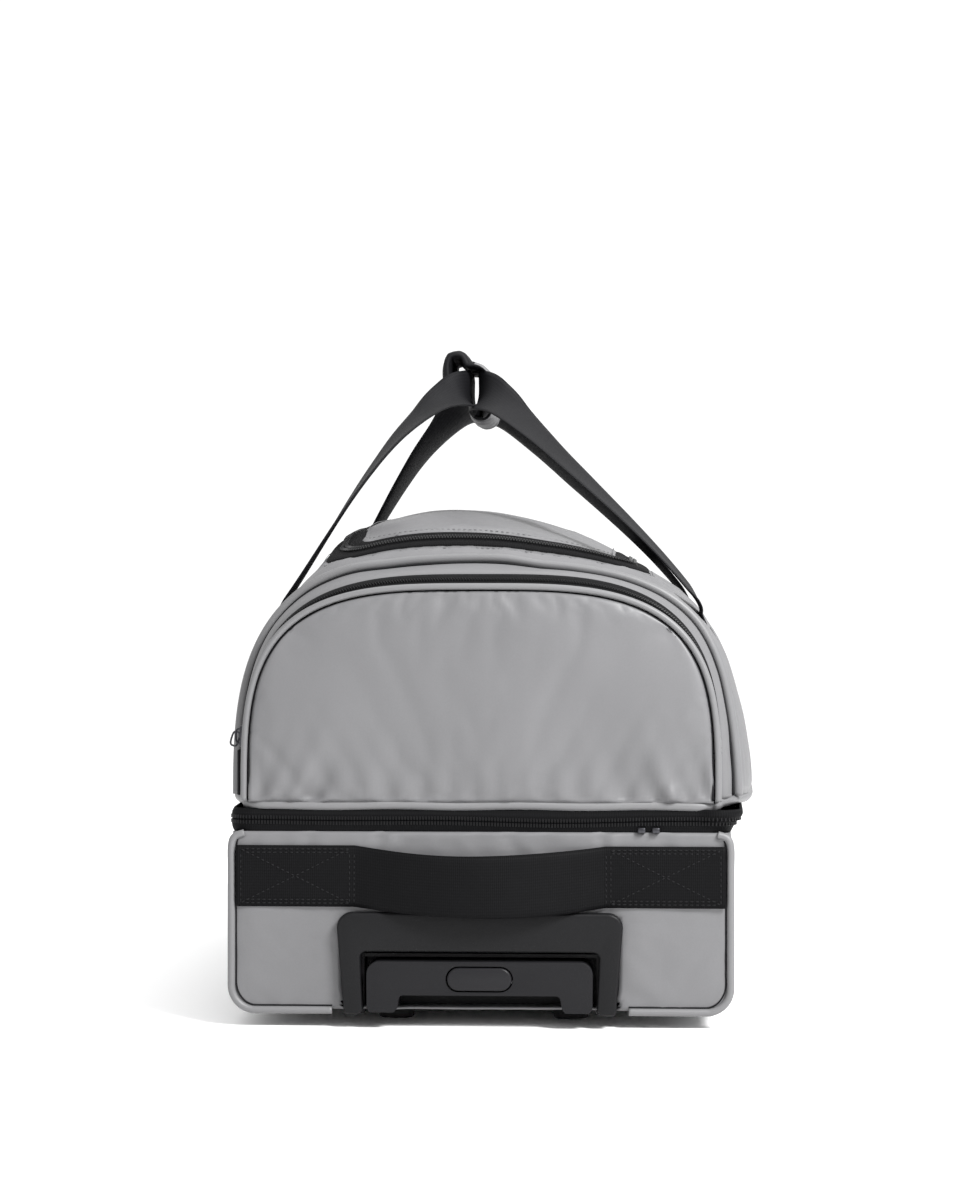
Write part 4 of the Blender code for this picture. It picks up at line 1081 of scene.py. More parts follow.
INSET = 2 * LT
x, d = plan(INSET)
hw, df = LH - INSET, LF + INSET
r = max(0.008, LC - INSET * 0.75)
ds = [df + r - r * math.cos(a) for a in np.linspace(0, math.pi / 2, 9)] + list(np.linspace(df + r, LR + 0.0010, 78)[1:])
V, UV = [], []
C = 44
for dd in ds:
    if dd < df + r:
        c = (df + r - dd) / r
        xe = hw - r + r * math.sqrt(max(0.0, 1 - c * c))
    else:
        xe = hw
    xs = xe * np.sin(np.linspace(-1, 1, C) * math.pi / 2 * 0.86) / math.sin(math.pi / 2 * 0.86)
    dist = np.minimum(np.minimum(xe - np.abs(xs), dd - df), 0.05)
    puff = 0.0016 * (1 - np.exp(-np.maximum(dist, 0) / 0.0045))
    p, nn = surface(np.full(C, dd), xs, 0.0002 + puff)
    V += p.tolist()
    UV += np.stack([xs, np.full(C, dd)], 1).tolist()
lid = make("lid_fabric", V, quads(len(ds), C), UV, (GREY, GREY_BACK))
bm = bmesh.new()
bm.from_mesh(lid.data)
if sum(f.normal.z for f in bm.faces) < 0:
    bmesh.ops.reverse_faces(bm, faces=bm.faces[:])
bm.to_mesh(lid.data)
bm.free()
held = np.zeros((len(ds), C), bool)
held[0], held[-1], held[:, 0], held[:, -1] = True, True, True, True
held = held.ravel()
relax(lid, held.astype(float), frames=14, pressure=0.8, shrink=-0.006, cap=0.0030)
swell(lid, held, 0.0022, 51, ((0.090, 1.0), (0.038, 0.3)))
thicken(lid, 0.0015)
place(leaned(lid), "upper_case", "fabric_grey", "lid_panel", **LID_BEND)

# sewn lines beside the lid zip
for name, inset, off, bend in (("lid_stitches", INSET + 0.0038, 0.0019, LID_BEND), ("body_stitches", -0.0042, 0.0003, {})):
    x, d = plan(inset, 300, 40, 160)
    keep = d < LR - 0.002
    p, nn = surface(d[keep], x[keep], np.full(keep.sum(), off))
    place(leaned(stitches(name, [(p, nn)], THREAD_GREY, 0.0026, 0.0014, 0.00026)), "upper_case", "fabric_grey", **bend)


# ------------------------------------------------------------ lower case
BOT, TOPZ, CR = 0.0120, 0.1362, 0.0160
ZL, ZM, ZH = 0.1363, 0.1440, 0.1517


def low_half(d):
    k = np.clip(np.asarray(d, float) / LENGTH, 0, 1)
    return 0.174 + 0.006 * np.sin(math.pi * k) ** 0.7


def tub_row(d, grow=0.0, m=96):
    w, r = float(low_half(d)) + grow, CR
    x, z = [-w], [TOPZ]
    for a in np.linspace(0, math.pi / 2, 9):
        x.append(-w + r - r * math.cos(a))
        z.append(BOT - grow + r - r * math.sin(a))
    x, z = np.array(x + [-v for v in x[::-1]]), np.array(z + z[::-1])
    run = np.concatenate(([0], np.cumsum(np.hypot(np.diff(x), np.diff(z)))))
    s = np.linspace(0, run[-1], m)
    return np.interp(s, run, x), np.interp(s, run, z), s


def fix_side(ob, test):
    """Turns the faces so that test(face) is positive."""
    bm = bmesh.new()
    bm.from_mesh(ob.data)
    bad = [f for f in bm.faces if test(f) < 0]
    bmesh.ops.reverse_faces(bm, faces=bad)
    bm.to_mesh(ob.data)
    bm.free()
    return ob


# side and bottom wrap, in one piece
V, UV = [], []
TD = list(np.linspace(0.0028, LENGTH - 0.0028, 92))
for d in TD:
    x, z, s = tub_row(d)
    V += np.stack([x, np.full(len(x), d + FY), z], 1).tolist()
    UV += np.stack([s, np.full(len(x), d)], 1).tolist()
tub = make("lower_case_wrap", V, quads(len(TD), 96), UV, (GREY, GREY_BACK))
fix_side(tub, lambda f: f.normal.x * f.calc_center_median().x / 0.18 - f.normal.z * (1 if f.calc_center_median().z < 0.03 else 0))
held = np.zeros((len(TD), 96), bool)
held[0], held[-1], held[:, 0], held[:, -1] = True, True, True, True
co = np.array(V)
flat = co[:, 2] < 0.0135
relax(tub, (held.ravel() | flat).astype(float), frames=12, pressure=0.7, shrink=-0.006, cap=0.0025)
swell(tub, held.ravel() | flat, 0.0014, 71, ((0.085, 1.0), (0.034, 0.35)), 0.016)
thicken(tub, 0.0016)
for sx in (-1, 1):
    cx = sx * 0.1615
    c = make("c", [(cx + i * 0.0385, Y(0.6400 + j * 0.0505), 0.041 + k * 0.0510) for i in (-1, 1) for j in (-1, 1) for k in (-1, 1)],
             [(0, 1, 3, 2), (4, 6, 7, 5), (0, 4, 5, 1), (2, 3, 7, 6), (0, 2, 6, 4), (1, 5, 7, 3)])
    outward(c)
    boolean(tub, c)
place(tub, "base", "fabric_grey", "lower_shell")


def end_panel(name, y, sign, crown, seed, cut_out=None, cols=110, rws=44, darts=()):
    """Upright end panel of the lower case with rounded lower corners."""
    w, r = 0.1735, CR
    V, UV, ok = [], [], []
    zs = np.linspace(BOT, TOPZ + 0.0004, rws)
    for z in zs:
        k = max(0.0, (BOT + r - z) / r)
        wz = w - r + r * math.sqrt(max(0.0, 1 - k * k))
        xs = np.linspace(-wz, wz, cols)
        for x in xs:
            u, v = abs(x) / wz, (z - BOT) / (TOPZ - BOT)
            out = crown * (1 - u ** 6) * math.sin(math.pi * min(1, max(0, v))) ** 0.5
            h = TOPZ - z
            for dx, wid, amp in darts:
                out += amp * math.exp(-((x - dx - 0.25 * h * math.copysign(1, dx)) / (wid * (1 + h / 0.02))) ** 2) * math.exp(-h / 0.010) * min(1, h / 0.001)
            V.append((x, y + sign * out, z))
            UV.append((x, z))
    f = []
    for q in quads(rws, cols):
        c = np.mean([V[i] for i in q], axis=0)
        if not (cut_out and cut_out(c)):
            f.append(q)
    used = sorted({i for q in f for i in q})
    m = {a: b for b, a in enumerate(used)}
    V2 = [V[i] for i in used]
    ob = make(name, V2, [tuple(m[i] for i in q) for q in f], [UV[i] for i in used], (GREY, GREY_BACK))
    face_y(ob, sign)
    bm = bmesh.new()
    bm.from_mesh(ob.data)
    e = np.zeros(len(bm.verts), bool)
    bm.verts.ensure_lookup_table()
    for ed in bm.edges:
        if len(ed.link_faces) == 1:
            e[ed.verts[0].index] = e[ed.verts[1].index] = True
    bm.free()
    relax(ob, e.astype(float), frames=10, pressure=0.5, shrink=-0.004, cap=0.0016)
    swell(ob, e, 0.0009, seed, ((0.075, 1.0), (0.030, 0.35)), 0.014)
    return thicken(ob, 0.0015)


front = end_panel("lower_front_panel", Y(0.0006), -1, 0.0006, 81,
                  lambda c: abs(c[0]) < 0.0965 and c[2] < 0.0770,
                  darts=((-0.069, 0.0030, -0.0016), (-0.062, 0.0026, 0.0012), (0.084, 0.0030, -0.0016),
                         (0.091, 0.0026, 0.0012), (-0.118, 0.004, -0.0009), (0.020, 0.005, -0.0006),
                         (0.128, 0.004, -0.0009)))
place(front, "base", "fabric_grey")
back = end_panel("lower_rear_panel", Y(LENGTH - 0.0012), 1, 0.0010, 91,
                 lambda c: abs(c[0]) > 0.1225 and c[2] < 0.0925)
place(back, "base", "fabric_grey")

# piping down the front edges and under the bag; it starts behind the zip
for side, sx in (("left", -1), ("right", 1)):
    w, r = 0.1750, CR + 0.0010
    pts = [(sx * (w - 0.0090), Y(0.0002), 0.1352), (sx * (w - 0.0022), Y(0.0000), 0.1325), (sx * w, Y(-0.0002), 0.1255)]
    pts += [(sx * w, Y(-0.0002), z) for z in (0.110, 0.090, 0.070, 0.050, 0.036)]
    for a in np.linspace(0, math.pi / 2, 8):
        pts.append((sx * (w - r + r * math.cos(a)), Y(-0.0002), BOT + 0.0012 - 0.0020 + r - r * math.sin(a)))
    pts += [(sx * x, Y(-0.0002), BOT - 0.0008) for x in (0.140, 0.120, 0.1040)]
    p = spline(pts, 6)
    place(cord("lower_front_piping_" + side, p, 0.0027, GREY_PIPE, 12), "base", "piping_grey", "lower_piping_" + side)
    # thin dark cord inside the piping on the front panel: painted shadow line in the seam crease
    q = p.copy()
    q[:, 0] -= sx * np.where(q[:, 2] > BOT + CR, 0.0034, 0.0034 * np.clip((np.abs(q[:, 0]) - 0.155) / 0.02, 0, 1))
    q[:, 2] += np.where(q[:, 2] < BOT + CR, 0.0032, 0.0)
    q[:, 1] += 0.0004
    q = q[(q[:, 2] < 0.131)]
    place(cord("lower_front_shadow_line_" + side, q, 0.0007, PAD_AND_SHADOW_LINES, 6), "base", "zip_black")
    # the rear edges have the same piping, down to the wheel housings
    pts = [(sx * (w - 0.0012), Y(LENGTH - 0.0012), z) for z in (0.1330, 0.120, 0.108, 0.0945)]
    place(cord("lower_rear_piping_" + side, spline(pts, 5), 0.0022, GREY_PIPE, 10), "base", "piping_grey")

# ------------------------------------------------------------ zip round the rim
def u_plan(m=120, nc=14, nf=90, d0=0.0020, d1=LENGTH - 0.0040, r=0.016):
    d = np.linspace(d1, d0 + r, m, endpoint=False)
    x = -low_half(d)
    w = float(low_half(d0 + r))
    a = np.linspace(0, math.pi / 2, nc, endpoint=False)
    x = np.concatenate((x, -w + r - r * np.cos(a), np.linspace(-w + r, 0, nf)))
    d = np.concatenate((d, d0 + r - r * np.sin(a), np.full(nf, d0)))
    return np.concatenate((x, -x[-2::-1])), np.concatenate((d, d[-2::-1]))


UX, UD = u_plan()
UT = unit(np.stack([np.gradient(UX), np.gradient(UD), np.zeros_like(UX)], 1))
UN = np.stack([-UT[:, 1], UT[:, 0], np.zeros_like(UX)], 1)
if (UN[:, 0] * UX).sum() < 0:
    UN = -UN
URUN = np.concatenate(([0], np.cumsum(np.hypot(np.diff(UX), np.diff(UD)))))
WAVE = 0.0007 * np.sin(URUN * 19.0 + 0.6) + 0.0005 * np.sin(URUN * 41.0)
ENDS = smoothstep(0, 0.05, URUN) * (1 - smoothstep(URUN[-1] - 0.05, URUN[-1], URUN))
# on the right the upper edge of the band stands out further than the lower edge
FLARE = 0.0075 * smoothstep(0.150, 0.172, UX) * smoothstep(LENGTH - 0.02, LENGTH - 0.10, UD)


def rim_tape(name, za, zb, prof, mats, low):
    V, UV = [], []
    n = len(prof)
    for i, off in enumerate(prof):
        z = za + (zb - za) * i / (n - 1)
        k = (z - ZL) / (ZH - ZL)
        shift = UN * (off + FLARE * smoothstep(0.1, 0.9, k))[:, None]
        zz = z + WAVE * ENDS * math.sin(math.pi * min(1, max(0, k)))
        V += np.stack([UX + shift[:, 0], UD + FY + shift[:, 1], zz], 1).tolist()
        UV += np.stack([URUN, np.full(len(UX), z)], 1).tolist()
    ob = make(name, V, quads(n, len(UX)), UV, mats)
    ob = fix_side(ob, lambda f: f.normal.x * f.calc_center_median().x + f.normal.y * (f.calc_center_median().y))
    return thicken(ob, 0.0012)


lower_tape = rim_tape("rim_zip_tape_lower", ZL - 0.0012, ZM - 0.0001, (-0.0004, 0.0010, 0.0017, 0.0020, 0.0019, 0.0017), TAPE, True)
place(lower_tape, "base", "zip_black", "mid_zip_lower_tape")
upper_tape = rim_tape("rim_zip_tape_upper", ZM + 0.0001, ZH + 0.0010, (0.0017, 0.0019, 0.0020, 0.0018, 0.0012, 0.0002), TAPE, False)
place(upper_tape, "upper_case", "zip_black", "mid_zip_upper_tape")


def rim_teeth(name, z, off):
    k = (z - ZL) / (ZH - ZL)
    sh = UN * (off + FLARE * smoothstep(0.1, 0.9, k))[:, None]
    p = np.stack([UX + sh[:, 0], UD + FY + sh[:, 1], z + WAVE * ENDS * math.sin(math.pi * k)], 1)
    m = int(URUN[-1] / 0.0021)
    at = np.linspace(0.001, URUN[-1] - 0.001, m)
    q = np.stack([np.interp(at, URUN, p[:, j]) for j in range(3)], 1)
    nq = unit(np.stack([np.interp(at, URUN, UN[:, j]) for j in range(3)], 1))
    t = unit(np.gradient(q, axis=0))
    return boxes(name, q, t, np.tile((0.0, 0.0, 1.0), (m, 1)), nq, 0.0026, 0.0012, 0.0011, TOOTH)


place(rim_teeth("rim_zip_teeth_lower", ZM - 0.0017, 0.0021), "base", "zip_black")
place(rim_teeth("rim_zip_teeth_upper", ZM + 0.0017, 0.0021), "upper_case", "zip_black")

# piping above the zip, all round the upper case
x0 = []
PD = np.linspace(0.018, LENGTH - 0.016, 90)
w = np.array([float(wtn(d)[0]) for d in PD]) - 0.0022
left = np.stack([-w, PD + FY, np.full(90, 0.1550)], 1)[::-1]
c = 0.0150
corner = np.array([(-(w[0] - c) - c * math.cos(a), Y(0.0026 + c) - c * math.sin(a), 0.1550) for a in np.linspace(0.1, math.pi / 2, 10)])
front_x = np.linspace(-(w[0] - c), 0, 60)[1:]
frt = np.stack([front_x, np.full(59, Y(0.0026)), np.full(59, 0.1550)], 1)
half = np.vstack((left, corner, frt))
mirror = half[-2::-1].copy()
mirror[:, 0] *= -1
rcorner = np.array([(w[-1] - c + c * math.cos(a), Y(LENGTH - 0.0020 - c) + c * math.sin(a), 0.1550) for a in np.linspace(0.1, math.pi / 2, 8)])
rear_x = np.linspace(w[-1] - c, -(w[-1] - c), 50)[1:-1]
rline = np.stack([rear_x, np.full(48, Y(LENGTH - 0.0020)), np.full(48, 0.1550)], 1)
lcorner = rcorner[::-1].copy()
lcorner[:, 0] *= -1
ringp = np.vstack((half, mirror, rcorner, rline, lcorner))
ringp[:, 2] += 0.0004 * np.sin(ringp[:, 0] * 70 + ringp[:, 1] * 40)
ringp, _ = resample(ringp, 0.0045, closed=True)
ring_cord = cord("rim_piping", lean(ringp), 0.0035, GREY_PIPE, 12, closed=True)
place(ring_cord, "upper_case", "piping_grey", "mid_piping")
# thin dark cord along the top of the rim piping: painted shadow line in the seam crease
lower_ringp = ringp.copy()
keep = lower_ringp[:, 1] < Y(LENGTH - 0.012)
start_i = int(np.argmin(keep)) if not keep.all() else 0
seq = np.roll(lower_ringp, -start_i, 0)
seq = seq[seq[:, 1] < Y(LENGTH - 0.012)]
seq[:, 2] += 0.0040
seq[:, 0] *= 0.9965
seq[:, 1] += 0.0012
place(cord("rim_seam_shadow_cord", lean(seq), 0.0008, PAD_AND_SHADOW_LINES, 6), "upper_case", "zip_black")

# fabric hinge at the rear, between the two cases
V, UV = [], []
for i in range(15):
    z = 0.1335 + (0.1590 - 0.1335) * i / 14
    for j in range(70):
        x = -0.1640 + 0.3280 * j / 69
        V.append((x, Y(LENGTH - 0.0008) + 0.0022 * math.sin(math.pi * i / 14), z))
        UV.append((x, z))
hinge = make("rear_hinge_fabric", V, quads(15, 70), UV, (GREY, GREY_BACK))
face_y(hinge, 1)
thicken(hinge, 0.0014)
place(hinge, "base", "fabric_grey", "rear_hinge_strip", to="upper_case",
      start=(0, Y(LENGTH), 0.1365), end=(0, Y(LENGTH), 0.1560))

# ------------------------------------------------------------ grab handle
GX = np.linspace(-0.1712, 0.1712, 240)
GK = np.maximum(0, 1 - (np.abs(GX) / 0.088) ** 2)
gy = Y(0.0009 - 0.0026) - 0.0180 * GK ** 1.3 - 0.0006
gz = 0.1055 - 0.0058 * GK
P = np.stack([GX, gy, gz], 1)
# the bowed middle tips a little, so its lower edge stands out more than the upper
tip = 0.10 * GK + 0.012 * np.sin(GX * 52)
WD = unit(np.stack([np.zeros_like(GX), -np.sin(tip) * -1, np.cos(tip)], 1))
TT = tangents(P)
ND = unit(np.cross(WD, TT))
if ND[:, 1].sum() > 0:
    ND = -ND
grab = ribbon("grab_handle_webbing", P, WD, ND, 0.0430 + 0.0012 * np.sin(GX * 31) * GK, 0.0024, WEB, cols=13)
place(grab, "base", "webbing_black", "grab_handle")


def on_grab(x, v):
    """Point on the outer face of the grab handle: v runs across the webbing, -0.5 to 0.5."""
    x, v = np.asarray(x, float), np.asarray(v, float)
    p = np.stack([np.interp(x, GX, P[:, k]) for k in range(3)], -1)
    wd = np.stack([np.interp(x, GX, WD[:, k]) for k in range(3)], -1)
    n = unit(np.stack([np.interp(x, GX, ND[:, k]) for k in range(3)], -1))
    return p + wd * (v * 0.0430)[..., None] + n * 0.00118, n


lines = []
for sx in (-1, 1):
    xa, xb = sx * 0.0915, sx * 0.1680
    for (a, va), (b, vb) in (((xa, 0.44), (xb, 0.44)), ((xa, -0.44), (xb, -0.44)), ((xa, 0.44), (xb, -0.44)),
                             ((xa, -0.44), (xb, 0.44)), ((xb, -0.44), (xb, 0.44)), ((xa, -0.44), (xa, 0.44)),
                             ((xa - sx * 0.0034, -0.44), (xa - sx * 0.0034, 0.44)),
                             ((xa, 0.385), (xb, 0.385)), ((xa, -0.385), (xb, -0.385))):
        t = np.linspace(0, 1, 40)
        lines.append(on_grab(a + (b - a) * t, va + (vb - va) * t))
place(stitches("grab_handle_stitches", lines, THREAD, 0.0027, 0.0012, 0.00042, 0.0001), "base", "webbing_black")

# ------------------------------------------------------------ plastic parts of the pull end
def plate(name, outline, holes, y0, y1, mats, bevel, segments=4):
    """Upright plate with the given outline (x, z) between y0 and y1, edges rounded."""
    bm = bmesh.new()
    vs = [bm.verts.new((x, y0, z)) for x, z in outline]
    f = bm.faces.new(vs)
    out = bmesh.ops.extrude_face_region(bm, geom=[f])
    for v in out["geom"]:
        if isinstance(v, bmesh.types.BMVert):
            v.co.y = y1
    bmesh.ops.recalc_face_normals(bm, faces=bm.faces[:])
    me = bpy.data.meshes.new(name)
    bm.to_mesh(me)
    bm.free()
    ob = bpy.data.objects.new(name, me)
    bpy.context.scene.collection.objects.link(ob)
    for m in (mats if isinstance(mats, (list, tuple)) else (mats,)):
        me.materials.append(m)
    for h in holes:
        boolean(ob, h)
    me = ob.data
    for p in me.polygons:
        p.use_smooth = True
    if bevel:
        bevelled(ob, bevel, segments, 45)
    return ob


def arc(cx, cz, r, a0, a1, n=8):
    return [(cx + r * math.cos(math.radians(a)), cz + r * math.sin(math.radians(a))) for a in np.linspace(a0, a1, n)]


# bezel: legs lean in towards the bottom
outline = arc(-0.0895, 0.0700, 0.0105, 180, 90) + arc(0.0895, 0.0700, 0.0105, 90, 0)
outline += [(0.0950, 0.0092), (0.0852, 0.0092), (0.0815, 0.0125)]
outline += arc(0.0795, 0.0490, 0.0040, 0, 90, 5)
outline += arc(-0.0795, 0.0490, 0.0040, 90, 180, 5)
outline += [(-0.0815, 0.0125), (-0.0852, 0.0092), (-0.0950, 0.0092)]
bezel = plate("pull_bezel", outline, [], Y(-0.0082), Y(0.0034), PLASTIC, 0.0020, 4)
place(bezel, "base", "plastic_black", "handle_bezel")


def pill(name, w, h, y0, y1, cz, arch_top=0.0, flat=0.0, n=12):
    r = h / 2
    o = arc(-w / 2 + r, cz, r, 270, 90, n) + arc(w / 2 - r, cz, r, 90, -90, n)
    o = [(x, z + (arch_top * (1 - (x / (w / 2)) ** 2) if z > cz else 0.0)) for x, z in o]
    bm = bmesh.new()
    lo_v = [bm.verts.new((x, y0, z)) for x, z in o]
    hi_v = [bm.verts.new((x, y1, z)) for x, z in o]
    bm.faces.new(lo_v)
    bm.faces.new(hi_v[::-1])
    for i in range(len(o)):
        j = (i + 1) % len(o)
        bm.faces.new((lo_v[i], hi_v[i], hi_v[j], lo_v[j]))
    bmesh.ops.recalc_face_normals(bm, faces=bm.faces[:])
    me = bpy.data.meshes.new(name)
    bm.to_mesh(me)
    bm.free()
    ob = bpy.data.objects.new(name, me)
    bpy.context.scene.collection.objects.link(ob)
    return ob


g = [(-0.0768, 0.0112), (-0.0788, 0.0140), (-0.0790, 0.0370)] + arc(-0.0700, 0.0378, 0.0090, 180, 90, 8)
g += arc(0.0700, 0.0378, 0.0090, 90, 0, 8) + [(0.0790, 0.0370), (0.0788, 0.0140), (0.0768, 0.0112)]
g += [(0.0600, 0.0112), (0.0576, 0.0140), (0.0566, 0.0200)] + arc(0.0536, 0.0204, 0.0028, 0, 90, 4)
g += arc(-0.0536, 0.0204, 0.0028, 90, 180, 4) + [(-0.0566, 0.0200), (-0.0576, 0.0140), (-0.0600, 0.0112)]
grip = plate("pull_grip", g, [pill("c", 0.0470, 0.0178, Y(-0.05), Y(0.0135), 0.0346)], Y(-0.0102), Y(0.0200), PLASTIC_FINE, 0.0017, 4)
place(grip, "trolley_inner", "plastic_black", "grip")
button = pill("press_button", 0.0452, 0.0160, Y(-0.0116), Y(0.0086), 0.0346)
button.data.materials.append(BUTTON)
for p in button.data.polygons:
    p.use_smooth = True
bevelled(button, 0.0014, 3, 50)
place(button, "release", "button_black", "release_button")


# ------------------------------------------------------------ carry straps
PIVOT_X, PIVOT_Z, MID_D, STRAP_W, STRAP_T = 0.1585, 0.2940, 0.3350, 0.0380, 0.0022
LEG = ((0.1557, 0.1650, 0.2982), (0.1330, 0.1665, 0.3300), (0.1075, 0.1730, 0.3625),
       (0.0800, 0.1860, 0.3950), (0.0530, 0.2060, 0.4250), (0.0285, 0.2330, 0.4485),
       (0.0120, 0.2610, 0.4605), (0.0048, 0.2860, 0.4640), (0.0036, 0.3100, 0.4650),
       (0.0035, 0.3350, 0.4650))


def strap_lean(z):
    k = np.clip((z - 0.2982) / (0.4395 - 0.2982), 0, 1)
    return 0.0200 * k * k * (3 - 2 * k)


def strap_half(sx):
    turn_at = (0.0, 0.04, 0.35, 0.65, 0.82, 0.92, 1.0)
    turn_by = (0.0, 0.16, 0.30, 0.36, 0.46, 0.75, 1.0) if sx > 0 else (0.0, 0.04, 0.20, 0.34, 0.46, 0.75, 1.0)
    foot = [(float(half_width(0.165, z)) - 0.0040 + 0.0040 * max(0.0, (z - 0.270) / 0.017), 0.1650, z)
            for z in (0.2560, 0.2600, 0.2650, 0.2700, 0.2755, 0.2815, 0.2875)]
    p = spline(foot + list(LEG), 10)
    nf = len(foot) * 10
    t = tangents(p)
    t[-1] = (0.0, 1.0, 0.0)
    w = []
    for i in range(len(p)):
        k = (i - nf) / (len(p) - 1 - nf)
        k = float(np.interp(k, turn_at, turn_by))
        w0 = np.array((0, 1, 0)) - t[i] * t[i][1]
        w1 = np.array((0, 0, 1)) - t[i] * t[i][2]
        w.append(unit(w0 * (1 - k) + w1 * k))
    w = np.array(w)
    n = unit(np.cross(t, w))
    return p, w, n


def strap_piece(side, sx):
    p, w, n = strap_half(sx)
    m = np.array((1.0, -1.0, 1.0))
    q = p.copy()
    q[:, 1] = 2 * MID_D - q[:, 1]
    P = np.vstack((p, q[-2::-1]))
    W = np.vstack((w, -(w * m)[-2::-1]))
    N = np.vstack((n, (n * m)[-2::-1]))
    # keep the width direction running the same way past the middle
    for i in range(1, len(W)):
        if np.dot(W[i], W[i - 1]) < 0:
            W[i] *= -1
        if np.dot(N[i], N[i - 1]) < 0:
            N[i] *= -1
    P[:, 1] += FY
    P[:, 0] *= sx
    W[:, 0] *= sx
    N[:, 0] *= sx
    run = np.concatenate(([0], np.cumsum(np.linalg.norm(np.diff(P, axis=0), axis=1))))
    mid = np.sin(np.pi * np.clip((run - 0.06) / (run[-1] - 0.12), 0, 1))
    P = P + N * (0.0010 * np.sin(run * 23 + sx) * mid)[:, None]
    ob = ribbon("carry_strap_" + side, P, W, N, STRAP_W, STRAP_T, STRAP, cols=13, curl=0.0007)
    co = coords(ob)
    co[:, 0] -= strap_lean(co[:, 2])
    low = co[:, 2] < 0.300
    co[low] = np.where(low[low][:, None], lean(co[low]) * (1, 1, 0) + co[low] * (0, 0, 1), co[low])
    set_coords(ob, co)
    body = side + "_handle"
    place(ob, "upper_case", "webbing_black", "handle_strap_" + side, "handle_anchor_%s_front" % side,
          "handle_anchor_%s_rear" % side, to=body, start=(sx * 0.1605, Y(MID_D), 0.2840), end=(sx * 0.1525, Y(MID_D), 0.3040))
    lines = []
    for dc in (0.165, 2 * MID_D - 0.165):
        def at(a, z):
            a, z = np.asarray(a, float), np.asarray(z, float)
            x = half_width(0.165, z) + 0.0012
            return np.stack([sx * x, dc + a * STRAP_W + FY, z], -1)
        z0, z1 = 0.2500, 0.2780
        for (a, za), (b, zb) in (((-0.42, z0), (0.42, z0)), ((-0.42, z1), (0.42, z1)), ((-0.42, z0), (0.42, z1)),
                                 ((-0.42, z1), (0.42, z0)), ((-0.42, z0), (-0.42, z1)), ((0.42, z0), (0.42, z1))):
            t = np.linspace(0, 1, 20)
            q = at(a + (b - a) * t, za + (zb - za) * t)
            lines.append((lean(q), np.tile((sx * 0.96, 0.0, 0.28), (20, 1))))
    place(stitches("carry_strap_stitches_" + side, lines, THREAD_GREY, 0.0027, 0.0012, 0.0004), "upper_case", "webbing_black")


strap_piece("left", -1)
strap_piece("right", 1)

# ------------------------------------------------------------ padded wrap round the straps
WRAP = ((-0.0225, 0.4475), (-0.0180, 0.4440), (-0.0120, 0.4432), (-0.0072, 0.4465), (-0.0056, 0.4530), (-0.0050, 0.4620),
        (-0.0058, 0.4720), (-0.0085, 0.4795), (-0.0140, 0.4850), (-0.0205, 0.4872), (-0.0252, 0.4878),
        (-0.0272, 0.4908), (-0.0296, 0.4945), (-0.0345, 0.4958), (-0.0392, 0.4940), (-0.0412, 0.4890), (-0.0414, 0.4800),
        (-0.0404, 0.4720), (-0.0388, 0.4650))
line = spline([(x, 0.0, z) for x, z in WRAP], 8)
t = tangents(line)
nn = np.stack([t[:, 2], np.zeros(len(t)), -t[:, 0]], 1)
run = np.concatenate(([0], np.cumsum(np.linalg.norm(np.diff(line, axis=0), axis=1))))
half_t = np.interp(run / run[-1], (0, 0.03, 0.5, 0.58, 0.97, 1), (0.0006, 0.0016, 0.0019, 0.0030, 0.0032, 0.0010))
rows_y = np.linspace(0.2850, 0.3850, 40)
V, UV, outer_n = [], [], len(line)
for j, d in enumerate(rows_y):
    e = min(j, 39 - j)
    k = (0.35, 0.75, 0.93)[e] if e < 3 else 1.0
    wob = 0.0006 * math.sin(j * 0.55) + 0.0004 * math.sin(j * 1.7)
    ring = np.vstack((line + nn * (half_t * k + wob * 0.4)[:, None], (line - nn * (half_t * k - wob * 0.4)[:, None])[::-1]))
    ring[:, 1] = Y(d)
    ring[:, 0] += wob * 0.5
    V += ring.tolist()
    UV += np.stack([np.concatenate((run, run[::-1])), np.full(2 * outer_n, d)], 1).tolist()
F = quads(40, 2 * outer_n, True)
F += [tuple(range(2 * outer_n))[::-1], tuple(range(39 * 2 * outer_n, 40 * 2 * outer_n))]
idx = []
split = int(np.argmax(run > run[-1] * 0.545))
for f in F[:-2]:
    c = min(f) % (2 * outer_n)
    idx.append(0 if c < split else 1)
idx += [1, 1]
wrap = make("padded_wrap", V, F, UV, (GREY, PAD_AND_SHADOW_LINES), mat_index=idx)
bm = bmesh.new()
bm.from_mesh(wrap.data)
bmesh.ops.triangulate(bm, faces=[f for f in bm.faces if len(f.verts) > 4])
bmesh.ops.recalc_face_normals(bm, faces=bm.faces[:])
bm.to_mesh(wrap.data)
bm.free()
co = coords(wrap)
fixed = np.abs(co[:, 1] - Y(0.335)) > 0.0475
relax(wrap, fixed.astype(float), frames=10, pressure=1.5, shrink=-0.02, cap=0.0012)
wrap = outward(wrap)
place(wrap, "right_handle", "fabric_grey", "handle_wrap")

# ------------------------------------------------------------ zip sliders and pulls
def rounded(name, x0, x1, y0, y1, z0, z1, mats, bevel, segments=3, taper=None):
    v = [(x, y, z) for x in (x0, x1) for y in (y0, y1) for z in (z0, z1)]
    if taper:
        v = [taper(p) for p in v]
    ob = make(name, v, [(0, 1, 3, 2), (4, 6, 7, 5), (0, 4, 5, 1), (2, 3, 7, 6), (0, 2, 6, 4), (1, 5, 7, 3)], None, mats)
    return bevelled(outward(ob), bevel, segments, 30)


